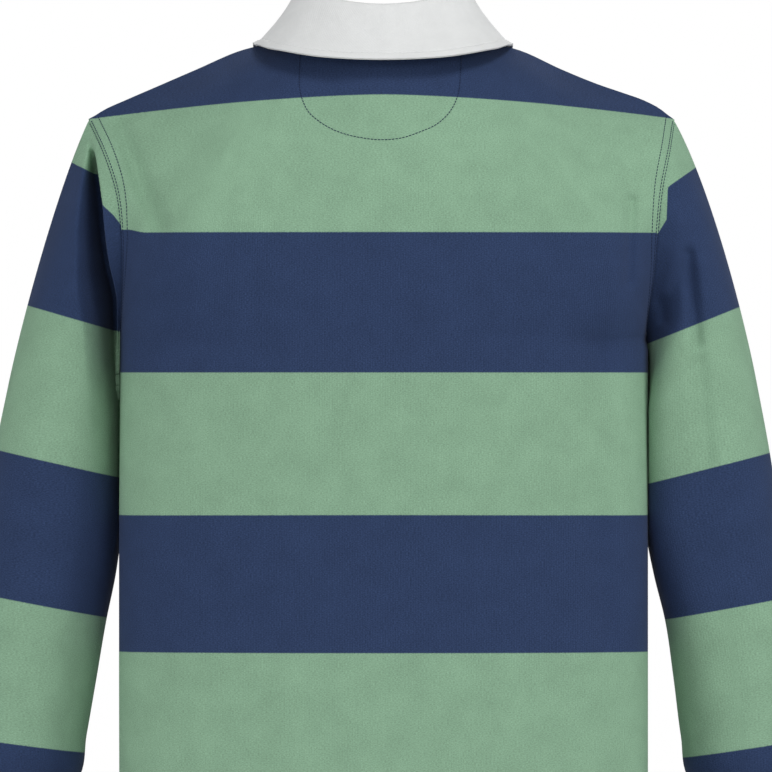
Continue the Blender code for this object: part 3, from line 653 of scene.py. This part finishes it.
def deep_fold(points, angle):
    """The left sleeve's deep fold, by the place of each point as seen from behind: how far in under
    the strip and how far forward each lies."""
    x, z = points[..., 0], points[..., 2]
    edge, out, depth = read(DEEP_FOLD, "z", "edge out depth", z)
    behind = ease((angle - DEEP_ANGLES["start"]) / DEEP_ANGLES["rise"])
    behind = behind * (1 - ease((angle - DEEP_ANGLES["end"]) / DEEP_ANGLES["fall"]))
    floor = edge + DEEP_TURN + DEEP_FLOOR
    rise = (x - floor) / np.maximum(out - floor, DEEP_NARROW)
    sunk = behind * depth * ease((x - edge) / DEEP_TURN) * np.clip(1 - rise, 0, 1) ** DEEP_FALL
    under = np.sin(math.pi * np.clip((x - edge) / (UNDER_REACH * DEEP_TURN), 0, 1))
    inward = OVERHANG * under * sunk / DEEP_FOLD["depth"].max()
    return np.stack([inward, sunk, np.zeros_like(sunk)], axis=-1)


def sleeve_points(side):
    """Outer points of a sleeve, rings from the armhole down, columns round from the shoulder tip;
    and the stripe each lies in, worked out before the folds."""
    count = 2 * UPPER_ROWS
    angle = np.arange(count) * 2 * math.pi / count
    degrees = np.degrees(angle)
    rise = np.abs(1 - angle / math.pi)
    back = place(ARMHOLE["back", side], "rise", rise)
    front = place(ARMHOLE["front", side], "rise", rise)
    seam = np.where((angle <= math.pi)[:, None], back, front)
    start = place(CAP_START, "angle", degrees)
    length = through(CAP_START, "angle", "length", degrees)[:, None]
    stations = SLEEVE_RINGS[side]["z"]
    first = sleeve_ring(side, stations[0], angle)
    second = sleeve_ring(side, stations[0] - RING_LOOK, angle)
    arrive = unit(second - first) * length
    leave = unit(start) * length
    leave[:, 0] += TIP_PUSH[side] * np.maximum(np.cos(angle), 0) ** 2
    rings = []
    for share in np.linspace(0, 1, CAP_ROWS + 1)[:-1] ** CAP_CROWDING:
        ring = hermite(seam, first, leave, arrive, share)
        if side == RIGHT:
            ring[:, 1] -= soft_fold(degrees, share)
        rings.append(ring)
    steps = round((stations[0] - stations[-1]) / RING_STEP)
    rings += [sleeve_ring(side, z, angle) for z in np.linspace(stations[0], stations[-1], steps + 1)]
    points = np.array(rings) * mirrored(side)
    stripes = sleeve_stripes(points, side)
    if side == LEFT:
        points -= deep_fold(points, degrees[None, :])
    else:
        behind = ease(FOLD_BACK * np.sin(angle))
        points[..., 1] += behind * soft_folds(points[..., 0], points[..., 2], FOLDS["sleeve_right"])
    return points, stripes


def cord_beside(points, line):
    """The raised cord along a seam and the two rows beside it: how far out each point moves."""
    flat = points.reshape(-1, 3)
    away = np.full(len(flat), np.inf)
    for spot in line:
        away = np.minimum(away, np.linalg.norm(flat - spot, axis=1))
    away = away.reshape(points.shape[:-1])
    groove = -GROOVE["share"] * CORD_HEIGHT * bell(away - ROW_APART, GROOVE["half"])
    return CORD_HEIGHT * bell(away, CORD_HALF) + groove


def above_line(x, z, line):
    """How far above a bent line each point lies, square to the line."""
    near = np.full(np.shape(x), np.inf)
    for stroke in zip(line["x"], line["z"], line["x"][1:], line["z"][1:]):
        near = np.minimum(near, from_stroke(x, z, *stroke))
    return np.where(z > np.interp(x, line["x"], line["z"]), near, -near)


def past_lines(number, z, lines):
    """Adds one for each stripe edge above a point, and its share of the way to the next."""
    for upper, lower in zip(lines, lines[1:]):
        number = number + np.clip((upper - z) / (upper - lower), 0, 1)
    return number + np.clip((lines[-1] - z) / STRIPE, 0, WITHIN)


def body_stripes(points):
    """Which stripe each point lies in: whole numbers at the stripes' edges, counted from the top."""
    x, z = np.abs(points[..., 0]), points[..., 2]
    bow = (x / BOW_REACH) ** BOW_POWER
    lines = [line - drop * bow for line, drop in zip(BODY_LINES["z"], BODY_LINES["bow"])]
    lift = ease((points[..., 0] - LEFT_LIFT["x"]) / LEFT_LIFT["reach"])
    lines[1] = lines[1] + LEFT_LIFT["height"] * lift
    return past_lines(1 - np.clip((z - lines[0]) / STRIPE, 0, WITHIN), z, lines)


def sleeve_stripes(points, side):
    """The same for a sleeve, whose cap begins inside the body's second stripe."""
    x, z = np.abs(points[..., 0]), points[..., 2]
    behind, before = (above_line(x, z, FIRST_LINE[face, side]) for face in ("back", "front"))
    above = np.where(points[..., 1] > RIDGE_Y, behind, before)
    lines = [height + (x - at) * rise for at, height, rise in zip(*SLEEVE_LINES[side].values())]
    middle = lines[0] + STRIPE / 2
    number = 2 - np.clip(above / STRIPE, 0, WITHIN) + np.clip(-above / (STRIPE / 2), 0, 0.5)
    number = number + np.clip((middle - z) / (middle - lines[0]), 0, 1) / 2
    return past_lines(number, z, lines)


def quads(rows, count, closed=False):
    """The cells of a grid of points, each as four point numbers."""
    i, j = np.meshgrid(np.arange(rows - 1), np.arange(count if closed else count - 1), indexing="ij")
    k = (j + 1) % count
    cells = np.stack([i * count + j, i * count + k, (i + 1) * count + k, (i + 1) * count + j], axis=-1)
    return cells.reshape(-1, 4)


def shell(name, node, slot, outer, inner, closed=False, stripes=None):
    """One closed wall of cloth between two grids, with its cloth coordinates in metres as its UV map."""
    rows, count = outer.shape[:2]
    behind = rows * count
    sheet = quads(rows, count, closed)
    across = np.arange(count if closed else count - 1)
    rims = [
        (row * count + across, row * count + (across + 1) % count, way)
        for row, way in ((0, 1), (rows - 1, -1))
    ]
    if not closed:
        down = np.arange(rows - 1) * count
        rims += [(down + end, down + end + count, way) for end, way in ((0, -1), (count - 1, 1))]
    ends = [np.stack([b, a, a + behind, b + behind], axis=-1)[:, ::way] for a, b, way in rims]
    faces = np.concatenate([sheet, sheet[:, ::-1] + behind, *ends])
    if np.sum(grid_normals(outer, closed) * (outer - inner)) < 0:
        faces = faces[:, ::-1]
    mesh = bpy.data.meshes.new(name)
    mesh.from_pydata(np.concatenate([outer.reshape(-1, 3), inner.reshape(-1, 3)]), [], faces)
    mesh.update()
    mesh.shade_smooth()
    mesh.set_sharp_from_angle(angle=SHARP_ANGLE)

    steps = np.linalg.norm(np.diff(outer, axis=0), axis=2)
    high = np.concatenate([np.zeros((1, count)), np.cumsum(steps, axis=0)])
    if closed:
        high = high - high[-1]
    uv = np.stack(np.broadcast_arrays(lengths(outer[rows // 2]), high), axis=-1).reshape(-1, 2)
    corners = np.zeros(len(mesh.loops), int)
    mesh.loops.foreach_get("vertex_index", corners)
    layer = mesh.uv_layers.new(name="cloth")
    layer.data.foreach_set("uv", uv[corners % behind].ravel())
    if stripes is not None:
        attribute = mesh.attributes.new("stripe", "FLOAT", "POINT")
        attribute.data.foreach_set("value", np.tile(stripes.reshape(-1), 2))
    mesh.materials.append(CLOTHS[slot])
    return adopt(bpy.data.objects.new(name, mesh), node)


def adopt(obj, node=None):
    """Puts a piece in the scene: it rides on the shirt and may stand for a node."""
    bpy.context.scene.collection.objects.link(obj)
    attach(obj, "root")
    if node:
        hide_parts(node)
    return obj


def read_along(values, length, at):
    """The values along a line, read at the given lengths."""
    return np.stack([np.interp(at, length, values[:, axis]) for axis in range(3)], axis=-1)


def stitches(name, rows, material, thread=THREAD):
    """Rows of thread dashes; each row is a line of points with the normals there."""
    vertices, faces = [], []
    last = len(STITCH_RINGS["along"]) - 1
    ring = range(THREAD_SIDES)
    turns = [2 * math.pi * step / THREAD_SIDES for step in ring]
    for line, normals in rows:
        length = lengths(line)
        count = int(length[-1] / STITCH)
        for number in range(count):
            middle = (number + 0.5) * length[-1] / count
            spots = read_along(line, length, middle + STITCH * STITCH_SHARE / 2 * STITCH_RINGS["along"])
            up = unit(read_along(normals, length, middle))
            aside = np.cross(unit(spots[-1] - spots[0]), up)
            first = len(vertices)
            for spot, height, size in zip(spots, STITCH_RINGS["up"], STITCH_RINGS["size"]):
                centre = spot + up * thread * height
                for turn in turns:
                    spoke = aside * math.cos(turn) + up * math.sin(turn)
                    vertices.append(centre + spoke * thread * size)
            for start in range(first, first + last * THREAD_SIDES, THREAD_SIDES):
                for step in ring:
                    a, b = start + step, start + (step + 1) % THREAD_SIDES
                    faces.append((a, b, b + THREAD_SIDES, a + THREAD_SIDES))
            faces.append(tuple(first + step for step in reversed(ring)))
            faces.append(tuple(first + last * THREAD_SIDES + step for step in ring))
    mesh = bpy.data.meshes.new(name)
    mesh.from_pydata([tuple(v) for v in vertices], [], faces)
    mesh.update()
    mesh.shade_smooth()
    mesh.materials.append(material)
    return adopt(bpy.data.objects.new(name, mesh))


def surface(points):
    """A tree to find the nearest place on a grid of points, with its normals as the grid's."""
    return BVHTree.FromPolygons(points.reshape(-1, 3).tolist(), quads(*points.shape[:2]).tolist())


def onto(line, tree, out):
    """The line's points moved to the nearest place on a surface, and the normals there; out is a
    rough outward direction for each."""
    spots, normals = [], []
    for point, way in zip(line, out):
        spot, normal, _, _ = tree.find_nearest(Vector(point))
        normal = np.array(normal)
        spots.append(np.array(spot))
        normals.append(normal if normal @ way > 0 else -normal)
    return np.array(spots), np.array(normals)


# materials


def nodes_of(name, roughness, sheen):
    material = bpy.data.materials.new(name)
    material.use_nodes = True
    tree = material.node_tree
    shader = tree.nodes["Principled BSDF"]
    shader.inputs["Roughness"].default_value = roughness
    shader.inputs["Specular IOR Level"].default_value = SPECULAR
    shader.inputs["Sheen Weight"].default_value = sheen
    shader.inputs["Sheen Roughness"].default_value = SHEEN_ROUGHNESS
    return material, tree, shader


def feed(tree, socket, value):
    """Sets a socket to a number or a colour, or links it to another socket."""
    if isinstance(value, (int, float)):
        socket.default_value = value
    elif isinstance(value, tuple):
        socket.default_value = (*value, 1.0)
    else:
        tree.links.new(value, socket)


def math_node(tree, operation, first, second):
    node = tree.nodes.new("ShaderNodeMath")
    node.operation = operation
    feed(tree, node.inputs[0], first)
    feed(tree, node.inputs[1], second)
    return node.outputs[0]


def scaled_coordinates(tree, scale=(1.0, 1.0, 1.0)):
    source = tree.nodes.new("ShaderNodeUVMap")
    source.uv_map = "cloth"
    mapping = tree.nodes.new("ShaderNodeMapping")
    mapping.inputs["Scale"].default_value = scale
    tree.links.new(source.outputs[0], mapping.inputs["Vector"])
    return mapping.outputs[0]


def noise(tree, vector, scale, detail=3.0, roughness=0.6):
    node = tree.nodes.new("ShaderNodeTexNoise")
    node.inputs["Scale"].default_value = scale
    node.inputs["Detail"].default_value = detail
    node.inputs["Roughness"].default_value = roughness
    tree.links.new(vector, node.inputs["Vector"])
    return node.outputs["Fac"]


def waves(tree, vector, direction, scale):
    node = tree.nodes.new("ShaderNodeTexWave")
    node.bands_direction = direction
    node.inputs["Scale"].default_value = scale
    for key, value in WAVE.items():
        node.inputs[key].default_value = value
    tree.links.new(vector, node.inputs["Vector"])
    return node.outputs["Fac"]


def mix(tree, factor, first, second, blend="MIX"):
    node = tree.nodes.new("ShaderNodeMix")
    node.data_type = "RGBA"
    node.blend_type = blend
    colours = [socket for socket in node.inputs if socket.type == "RGBA"]
    for socket, value in zip((node.inputs[0], *colours), (factor, first, second)):
        feed(tree, socket, value)
    return next(socket for socket in node.outputs if socket.type == "RGBA")


def in_range(tree, value, low, high, to_low=0.0, to_high=1.0):
    node = tree.nodes.new("ShaderNodeMapRange")
    tree.links.new(value, node.inputs["Value"])
    for name, number in (("From Min", low), ("From Max", high), ("To Min", to_low), ("To Max", to_high)):
        node.inputs[name].default_value = number
    return node.outputs[0]


def bump(tree, shader, height, distance, strength):
    node = tree.nodes.new("ShaderNodeBump")
    node.inputs["Distance"].default_value = distance
    node.inputs["Strength"].default_value = strength
    tree.links.new(height, node.inputs["Height"])
    tree.links.new(node.outputs[0], shader.inputs["Normal"])


def shaded(colour, share):
    return tuple(value * share for value in colour)


def jersey(name, striped):
    """Heavy knit: fine wales and courses, a faint heathered grain, stripes by the cloth's number."""
    material, tree, shader = nodes_of(name, roughness=0.92, sheen=0.03)
    plain = scaled_coordinates(tree)
    streaks = scaled_coordinates(tree, STREAKS)
    if striped:
        attribute = tree.nodes.new("ShaderNodeAttribute")
        attribute.attribute_name = "stripe"
        wander, soft = STRIPE_EDGE["wander"], STRIPE_EDGE["soft"]
        edge = noise(tree, plain, STRIPE_EDGE["cells"], detail=2.0)
        wobble = in_range(tree, edge, *NOISE_RANGE, -wander, wander)
        number = math_node(tree, "ADD", attribute.outputs["Fac"], wobble)
        wave = math_node(tree, "SINE", math_node(tree, "MULTIPLY", number, math.pi), 0.0)
        which = in_range(tree, wave, -soft, soft)
    grain = noise(tree, streaks, scale=1.0, detail=4.0, roughness=0.7)
    cloud = noise(tree, plain, CLOUD["cells"], detail=6.0, roughness=0.65)
    cloud = in_range(tree, cloud, *NOISE_RANGE, *CLOUD["shades"])
    shades = []
    for colour, spread in HEATHER.items():
        tone = in_range(tree, grain, low=0.25, high=0.75, to_low=1 - spread, to_high=1 + spread)
        shade = tree.nodes.new("ShaderNodeCombineColor")
        for socket in shade.inputs[:3]:
            tree.links.new(math_node(tree, "MULTIPLY", tone, cloud), socket)
        shades.append(mix(tree, 1.0, colour, shade.outputs[0], "MULTIPLY"))
    colour = mix(tree, which, *shades) if striped else shades[1]
    tree.links.new(colour, shader.inputs["Base Color"])
    wales = math_node(tree, "MULTIPLY", waves(tree, plain, "X", WALES), 0.4)
    fuzz = noise(tree, plain, scale=1500.0)
    bump(tree, shader, math_node(tree, "ADD", wales, fuzz), distance=0.00035, strength=0.5)
    return material


def rib():
    material, tree, shader = nodes_of("rib_knit", roughness=0.9, sheen=0.2)
    grain = noise(tree, scaled_coordinates(tree), scale=800.0, detail=4.0)
    tone = in_range(tree, grain, *NOISE_RANGE)
    tree.links.new(mix(tree, tone, shaded(NAVY, 0.86), shaded(NAVY, 1.16)), shader.inputs["Base Color"])
    bump(tree, shader, grain, distance=0.0004, strength=0.5)
    return material


def twill():
    """White woven cotton with fine diagonal lines."""
    material, tree, shader = nodes_of("white_cotton_twill", roughness=0.82, sheen=0.10)
    plain = scaled_coordinates(tree)
    lines = math_node(tree, "MULTIPLY", waves(tree, plain, "DIAGONAL", TWILL_LINES), 0.5)
    tone = in_range(tree, noise(tree, plain, scale=60.0, detail=4.0), low=0.35, high=0.65)
    tree.links.new(mix(tree, tone, shaded(WHITE, 0.955), WHITE), shader.inputs["Base Color"])
    fuzz = noise(tree, plain, scale=1300.0)
    bump(tree, shader, math_node(tree, "ADD", lines, fuzz), distance=0.0003, strength=0.4)
    return material


def plain_material(name, colour, roughness):
    """Thread or resin, with a fine grain by its place."""
    material, tree, shader = nodes_of(name, roughness, sheen=0.0)
    place_node = tree.nodes.new("ShaderNodeNewGeometry")
    grain = noise(tree, place_node.outputs["Position"], scale=1800.0)
    tone = in_range(tree, grain, *NOISE_RANGE)
    tree.links.new(mix(tree, tone, shaded(colour, 0.88), colour), shader.inputs["Base Color"])
    bump(tree, shader, grain, distance=0.0001, strength=0.3)
    return material


STRIPED = jersey("striped_jersey_knit", True)
NAVY_KNIT = jersey("navy_jersey_knit", False)
RIB = rib()
TWILL = twill()
CLOTHS = {"striped_jersey": STRIPED, "navy_rib": RIB, "white_twill": TWILL}
DARK_THREAD = plain_material("navy_thread", THREAD_NAVY, roughness=0.7)
PALE_THREAD = plain_material("white_thread", WHITE, roughness=0.7)
BUTTON = plain_material("button_resin", RESIN, roughness=0.32)
SOLIDS = {"half_moon": NAVY_KNIT, "placket_under": TWILL}
SOLIDS |= {f"button_{number}": BUTTON for number in (1, 2, 3)}


def build_body():
    """The two panels and the two sleeves."""
    back, front = panel("back"), panel("front")
    sleeves, stripes = {}, {}
    for side in SIDES:
        sleeves[side], stripes[side] = sleeve_points(side)
        line = sleeves[side][0].copy()
        for grid in (back, front, sleeves[side]):
            turn = -side if grid is sleeves[side] else -1
            normals = turn * grid_normals(grid, grid is sleeves[side])
            grid += normals * cord_beside(grid, line)[..., None]
    for grid, name in ((back, "back"), (front, "front")):
        inner = grid + grid_normals(grid) * WALL
        cloth = shell(f"{name}_cloth", name, "striped_jersey", grid, inner, stripes=body_stripes(grid))
    for side, word in SIDES.items():
        grid, name = sleeves[side], f"sleeve_{word}"
        inner = grid + side * grid_normals(grid, True) * WALL
        cloth = shell(f"{name}_cloth", name, "striped_jersey", grid, inner, True, stripes[side])
    return back, front, sleeves


def build_cuffs():
    """Each cuff's ribs run down it, and it narrows a little halfway."""
    for side, word in SIDES.items():
        last = {name: column[-1] for name, column in SLEEVE_RINGS[side].items()}
        count = RIB_CELLS * CUFF_RIBS
        angle = np.arange(count) * 2 * math.pi / count
        low = sleeve_ring(side, last["z"], angle)
        middle = np.array([(last["inner"] + last["outer"]) / 2, last["middle_y"], last["z"]])
        tilt = math.radians(last["tilt"])
        down = np.array([math.sin(tilt), 0.0, -math.cos(tilt)])
        raised = RIB_DEPTH * (0.5 + 0.5 * np.sin(CUFF_RIBS * angle))[:, None]
        outer, inner = [], []
        for share in np.linspace(0, 1, CUFF_ROWS + 1):
            narrow = 1 - CUFF_WAIST * math.sin(WAIST_TURN * share)
            spoke = (low - middle) * narrow
            centre = middle + down * (SEAM + CUFF_LENGTH * share)
            outer.append(centre + spoke + unit(spoke) * raised)
            inner.append(centre + spoke - unit(spoke) * CUFF_WALL)
        outer, inner = np.array(outer) * mirrored(side), np.array(inner) * mirrored(side)
        cloth = shell(f"cuff_{word}_rib", f"cuff_{word}", "navy_rib", outer, inner, True)


def neckline(back, front):
    """The body's neckline, round from the front's middle over the back and to the front's middle."""
    middle = front.shape[1] // 2
    centre = back.shape[1] // 2
    right = front[-1, middle + 2: middle + NECK_CELLS + 1]
    left = front[-1, middle - NECK_CELLS: middle - 1]
    behind = back[-1, centre - NECK_CELLS + 1: centre + NECK_CELLS]
    return np.concatenate([right, behind, left])


def collar_lines(base):
    """The collar's fold and its leaf's edge, a point of each for every point of the neckline."""
    side = np.where(np.arange(len(base)) < len(base) / 2, -1.0, 1.0)[:, None]
    side = np.concatenate([side, np.ones_like(side), np.ones_like(side)], axis=1)
    angle = np.degrees(np.arctan2(np.abs(base[:, 0]), NECK_MIDDLE_Y - base[:, 1]))
    angle = angle - angle[0] * (1 - angle / 180)
    return place(FOLD_LINE, "angle", angle) * side, place(LEAF_EDGE, "angle", angle) * side


def rest_on(points, trees, clear):
    """Moves points out until they lie this far outside the nearest panel."""
    flat = points.reshape(-1, 3).copy()
    for _ in range(REST_TURNS):
        for number, point in enumerate(flat):
            found = [tree.find_nearest(Vector(point)) for tree in trees]
            spot, normal, _, _ = min(found, key=lambda item: item[3])
            height = (point - np.array(spot)) @ np.array(normal)
            flat[number] = point + np.array(normal) * max(clear - height, 0.0)
    return flat.reshape(points.shape)


def turned_back(grid, row):
    """The grid's normals, turned to point back at the middle of this row."""
    normals = grid_normals(grid)
    return -normals if normals[row, grid.shape[1] // 2, 1] < 0 else normals


def build_stand(base, fold):
    """The band that stands up from the neckline to the fold; gives its outward directions."""
    shares = np.linspace(0, 1, STAND_ROWS + 1)[:, None, None]
    stand = base + (fold - base) * shares
    outward = turned_back(stand, 0)
    inner = stand - outward * COLLAR_WALL
    cloth = shell("collar_stand_cloth", "collar_stand", "white_twill", stand, inner)
    return outward


def leaf_rows(base, fold, edge, flat):
    """The leaf's rows: a roll over the stand's top, then the fall down to the edge."""
    up = unit(fold - base)
    start = fold - flat * COLLAR_WALL + up * SEAM
    centre = start + flat * ROLL_RADIUS + up * ROLL_LIFT
    rows = [start]
    for step in range(ROLL_CELLS + 1):
        turn = ROLL_TURN * step / ROLL_CELLS
        rows.append(centre - flat * ROLL_RADIUS * math.cos(turn) + up * ROLL_RADIUS * math.sin(turn))
    top = rows[-1]
    span = np.linalg.norm(edge - top, axis=1, keepdims=True)
    leave = (flat * LEAF_LEAVE["out"] - up * LEAF_LEAVE["down"]) * span
    arrive = (unit(edge - top) + flat * LEAF_FLARE) * span
    for step in range(1, FALL_CELLS + 1):
        rows.append(hermite(top, edge, leave, arrive, step / FALL_CELLS))
    return np.array(rows)


def build_collar(back, front):
    """The stand and the leaf, whose edge has a stitched band."""
    base = neckline(back, front) + np.array([0.0, 0.0, SEAM])
    fold, edge = collar_lines(base)
    flat = build_stand(base, fold)[-1].copy()
    flat[:, 2] = 0.0
    leaf = leaf_rows(base, fold, edge, unit(flat))
    trees = (surface(back[:, ::-1]), surface(front[:, ::-1]))
    low = ROLL_CELLS + 2
    leaf[low:] = rest_on(leaf[low:], trees, COLLAR_WALL + LEAF_CLEAR)
    outward = turned_back(leaf, -2)
    ends = (leaf[-1], leaf[:, :1], leaf[:, -1:])
    inset = np.min([np.linalg.norm(leaf - end, axis=-1) for end in ends], axis=0)
    band = 1 - ease((inset - BAND["inset"] + BAND["turn"]) / (2 * BAND["turn"]))
    groove = bell(inset - BAND["inset"] + BAND_GROOVE["inside"], BAND_GROOVE["half"])
    raised = BAND["height"] * band - BAND_GROOVE["depth"] * groove
    outer, inner = leaf + outward * raised[..., None], leaf - outward * COLLAR_WALL
    cloth = shell("collar_leaf_cloth", "collar_leaf", "white_twill", outer, inner)


def build_placket(front):
    """The over strip down the front, from the front's own points."""
    line = front[::-1, front.shape[1] // 2]
    along = np.linspace(PLACKET_TOP, PLACKET_LENGTH, PLACKET_ROWS + 1)
    spots = read_along(line, lengths(line), along)
    grid = np.repeat(spots[:, None], PLACKET_COLUMNS, axis=1)
    grid[..., 0] = np.linspace(-PLACKET_HALF, PLACKET_HALF, PLACKET_COLUMNS)
    way = np.tile(ROUGH_OUT["placket"], (grid.size // 3, 1))
    spots, out = (found.reshape(grid.shape) for found in onto(grid.reshape(-1, 3), surface(front), way))
    inset = np.minimum(PLACKET_HALF - np.abs(grid[..., 0]), (PLACKET_LENGTH - along)[:, None])
    groove = bell(inset - PLACKET_GROOVE["inset"], PLACKET_GROOVE["half"])
    outer = spots + out * (SEAM + PLACKET_WALL - PLACKET_GROOVE["depth"] * groove)[..., None]
    cloth = shell("placket_over_cloth", "placket_over", "white_twill", outer, spots + out * SEAM)
    rows = [(outer[:, x], out[:, x]) for x in (1, -2)]
    rows.append((outer[-2, 1:-1], out[-2, 1:-1]))
    stitches("placket_thread", rows, PALE_THREAD, PLACKET_THREAD)


def armhole_rows(side, sleeve, panels, trees):
    """Two rows on the panels along an armhole, and one on the sleeve; none round the underarm."""
    first = sleeve[:SEAM_ROWS]
    sleeve_tree = surface(np.concatenate([first, first[:, :1]], axis=1))
    count = sleeve.shape[1]
    from_tip = np.arange(1, count // 2 - UNDERARM_GAP)
    rows = []
    for face, columns in (("back", from_tip), ("front", count - from_tip)):
        seam, grid = sleeve[0, columns], panels[face]
        edge, inside = (-1, -3) if (side == LEFT) == (face == "back") else (0, 2)
        row_of = len(grid) - 1 - from_tip
        inward = unit(grid[row_of, inside] - grid[row_of, edge])
        outward = unit(sleeve[2, columns] - seam)
        way = np.tile(ROUGH_OUT[face], (len(seam), 1))
        for move, tree in (
            (inward * ROW_APART, trees[face]),
            (inward * BODY_ROW, trees[face]),
            (outward * ROW_APART, sleeve_tree),
        ):
            rows.append(onto(seam + move, tree, way))
    return rows


def half_moon_row(tree):
    """The half moon's arc, cast forward onto the back."""
    knots = lengths(np.stack([ARC["x"], ARC["z"]], axis=-1))
    arc = {"along": knots, **ARC}
    along = np.linspace(0, knots[-1], ARC_SPOTS)
    spots, normals = [], []
    for x, z in zip(*read(arc, "along", "x z", along)):
        spot, normal, _, _ = tree.ray_cast(Vector((x, ARC_START_Y, z)), Vector((0, -1, 0)))
        if spot is not None:
            normal = np.array(normal)
            spots.append(np.array(spot))
            normals.append(normal if normal[1] > 0 else -normal)
    return np.array(spots), np.array(normals)


def build_seams(back, front, sleeves):
    """The rows of stitches along the armholes, round the half moon and above the hem."""
    panels = {"back": back, "front": front}
    trees = {face: surface(grid) for face, grid in panels.items()}
    rows = [row for side in SIDES for row in armhole_rows(side, sleeves[side], panels, trees)]
    stitches("armhole_thread", rows, DARK_THREAD)
    stitches("half_moon_thread", [half_moon_row(trees["back"])], DARK_THREAD)

    rows = []
    for grid in (back, front):
        normals = -grid_normals(grid)
        for height in HEM_ROWS:
            row = np.argmin(np.abs(grid[:, grid.shape[1] // 2, 2] - HEM_Z - height))
            rows.append((grid[row], normals[row]))
    stitches("hem_thread", rows, DARK_THREAD)


def add_object(name, data):
    obj = bpy.data.objects.new(name, data)
    bpy.context.scene.collection.objects.link(obj)
    return obj


def background(tree, colour, strength):
    node = tree.nodes.new("ShaderNodeBackground")
    feed(tree, node.inputs["Color"], colour)
    feed(tree, node.inputs["Strength"], strength)
    return node.outputs[0]


def build_floor():
    bpy.ops.mesh.primitive_cylinder_add(**FLOOR)
    floor = bpy.context.object
    floor.name = "floor"
    material, tree, shader = nodes_of("floor_paper", roughness=0.9, sheen=0.0)
    feed(tree, shader.inputs["Base Color"], PAPER)
    floor.data.materials.append(material)


def build_studio():
    """Pale light from all round, which is plain white where the camera sees it."""
    world = bpy.data.worlds.new("studio")
    world.use_nodes = True
    bpy.context.scene.world = world
    tree = world.node_tree
    tree.nodes.clear()
    output = tree.nodes.new("ShaderNodeOutputWorld")
    path = tree.nodes.new("ShaderNodeLightPath")
    blend = tree.nodes.new("ShaderNodeMixShader")
    around = background(tree, STUDIO, STUDIO_STRENGTH)
    seen = background(tree, (1.0, 1.0, 1.0), 1.0)
    for socket, source in zip(blend.inputs, (path.outputs["Is Camera Ray"], around, seen)):
        tree.links.new(source, socket)
    tree.links.new(blend.outputs[0], output.inputs["Surface"])


def build_lamps():
    for number, (x, y, z, size, power) in enumerate(zip(*LAMPS.values())):
        data = bpy.data.lights.new(f"softbox_{number}", "AREA")
        data.energy = power
        data.size = size
        lamp = add_object(data.name, data)
        lamp.location = (x, y, z)
        lamp.rotation_euler = (Vector(LAMP_AIM) - lamp.location).to_track_quat("-Z", "Y").to_euler()


def build_camera():
    data = bpy.data.cameras.new("camera")
    data.sensor_width = SENSOR
    data.lens = data.sensor_width * CAMERA_FAR / FRAME_WIDTH
    camera = add_object("camera", data)
    x, y, z = FRAME_MIDDLE
    camera.location = (x, CAMERA_FAR + y, z)
    camera.rotation_euler = (math.pi / 2, 0.0, math.pi)
    bpy.context.scene.camera = camera


bpy.context.scene.view_settings.view_transform = "Standard"
build_floor()
build_studio()
build_lamps()
build_camera()
BACK, FRONT, SLEEVES = build_body()
build_cuffs()
build_collar(BACK, FRONT)
build_placket(FRONT)
build_seams(BACK, FRONT, SLEEVES)
for node, material in SOLIDS.items():
    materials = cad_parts[node].data.materials
    materials.clear()
    materials.append(material)
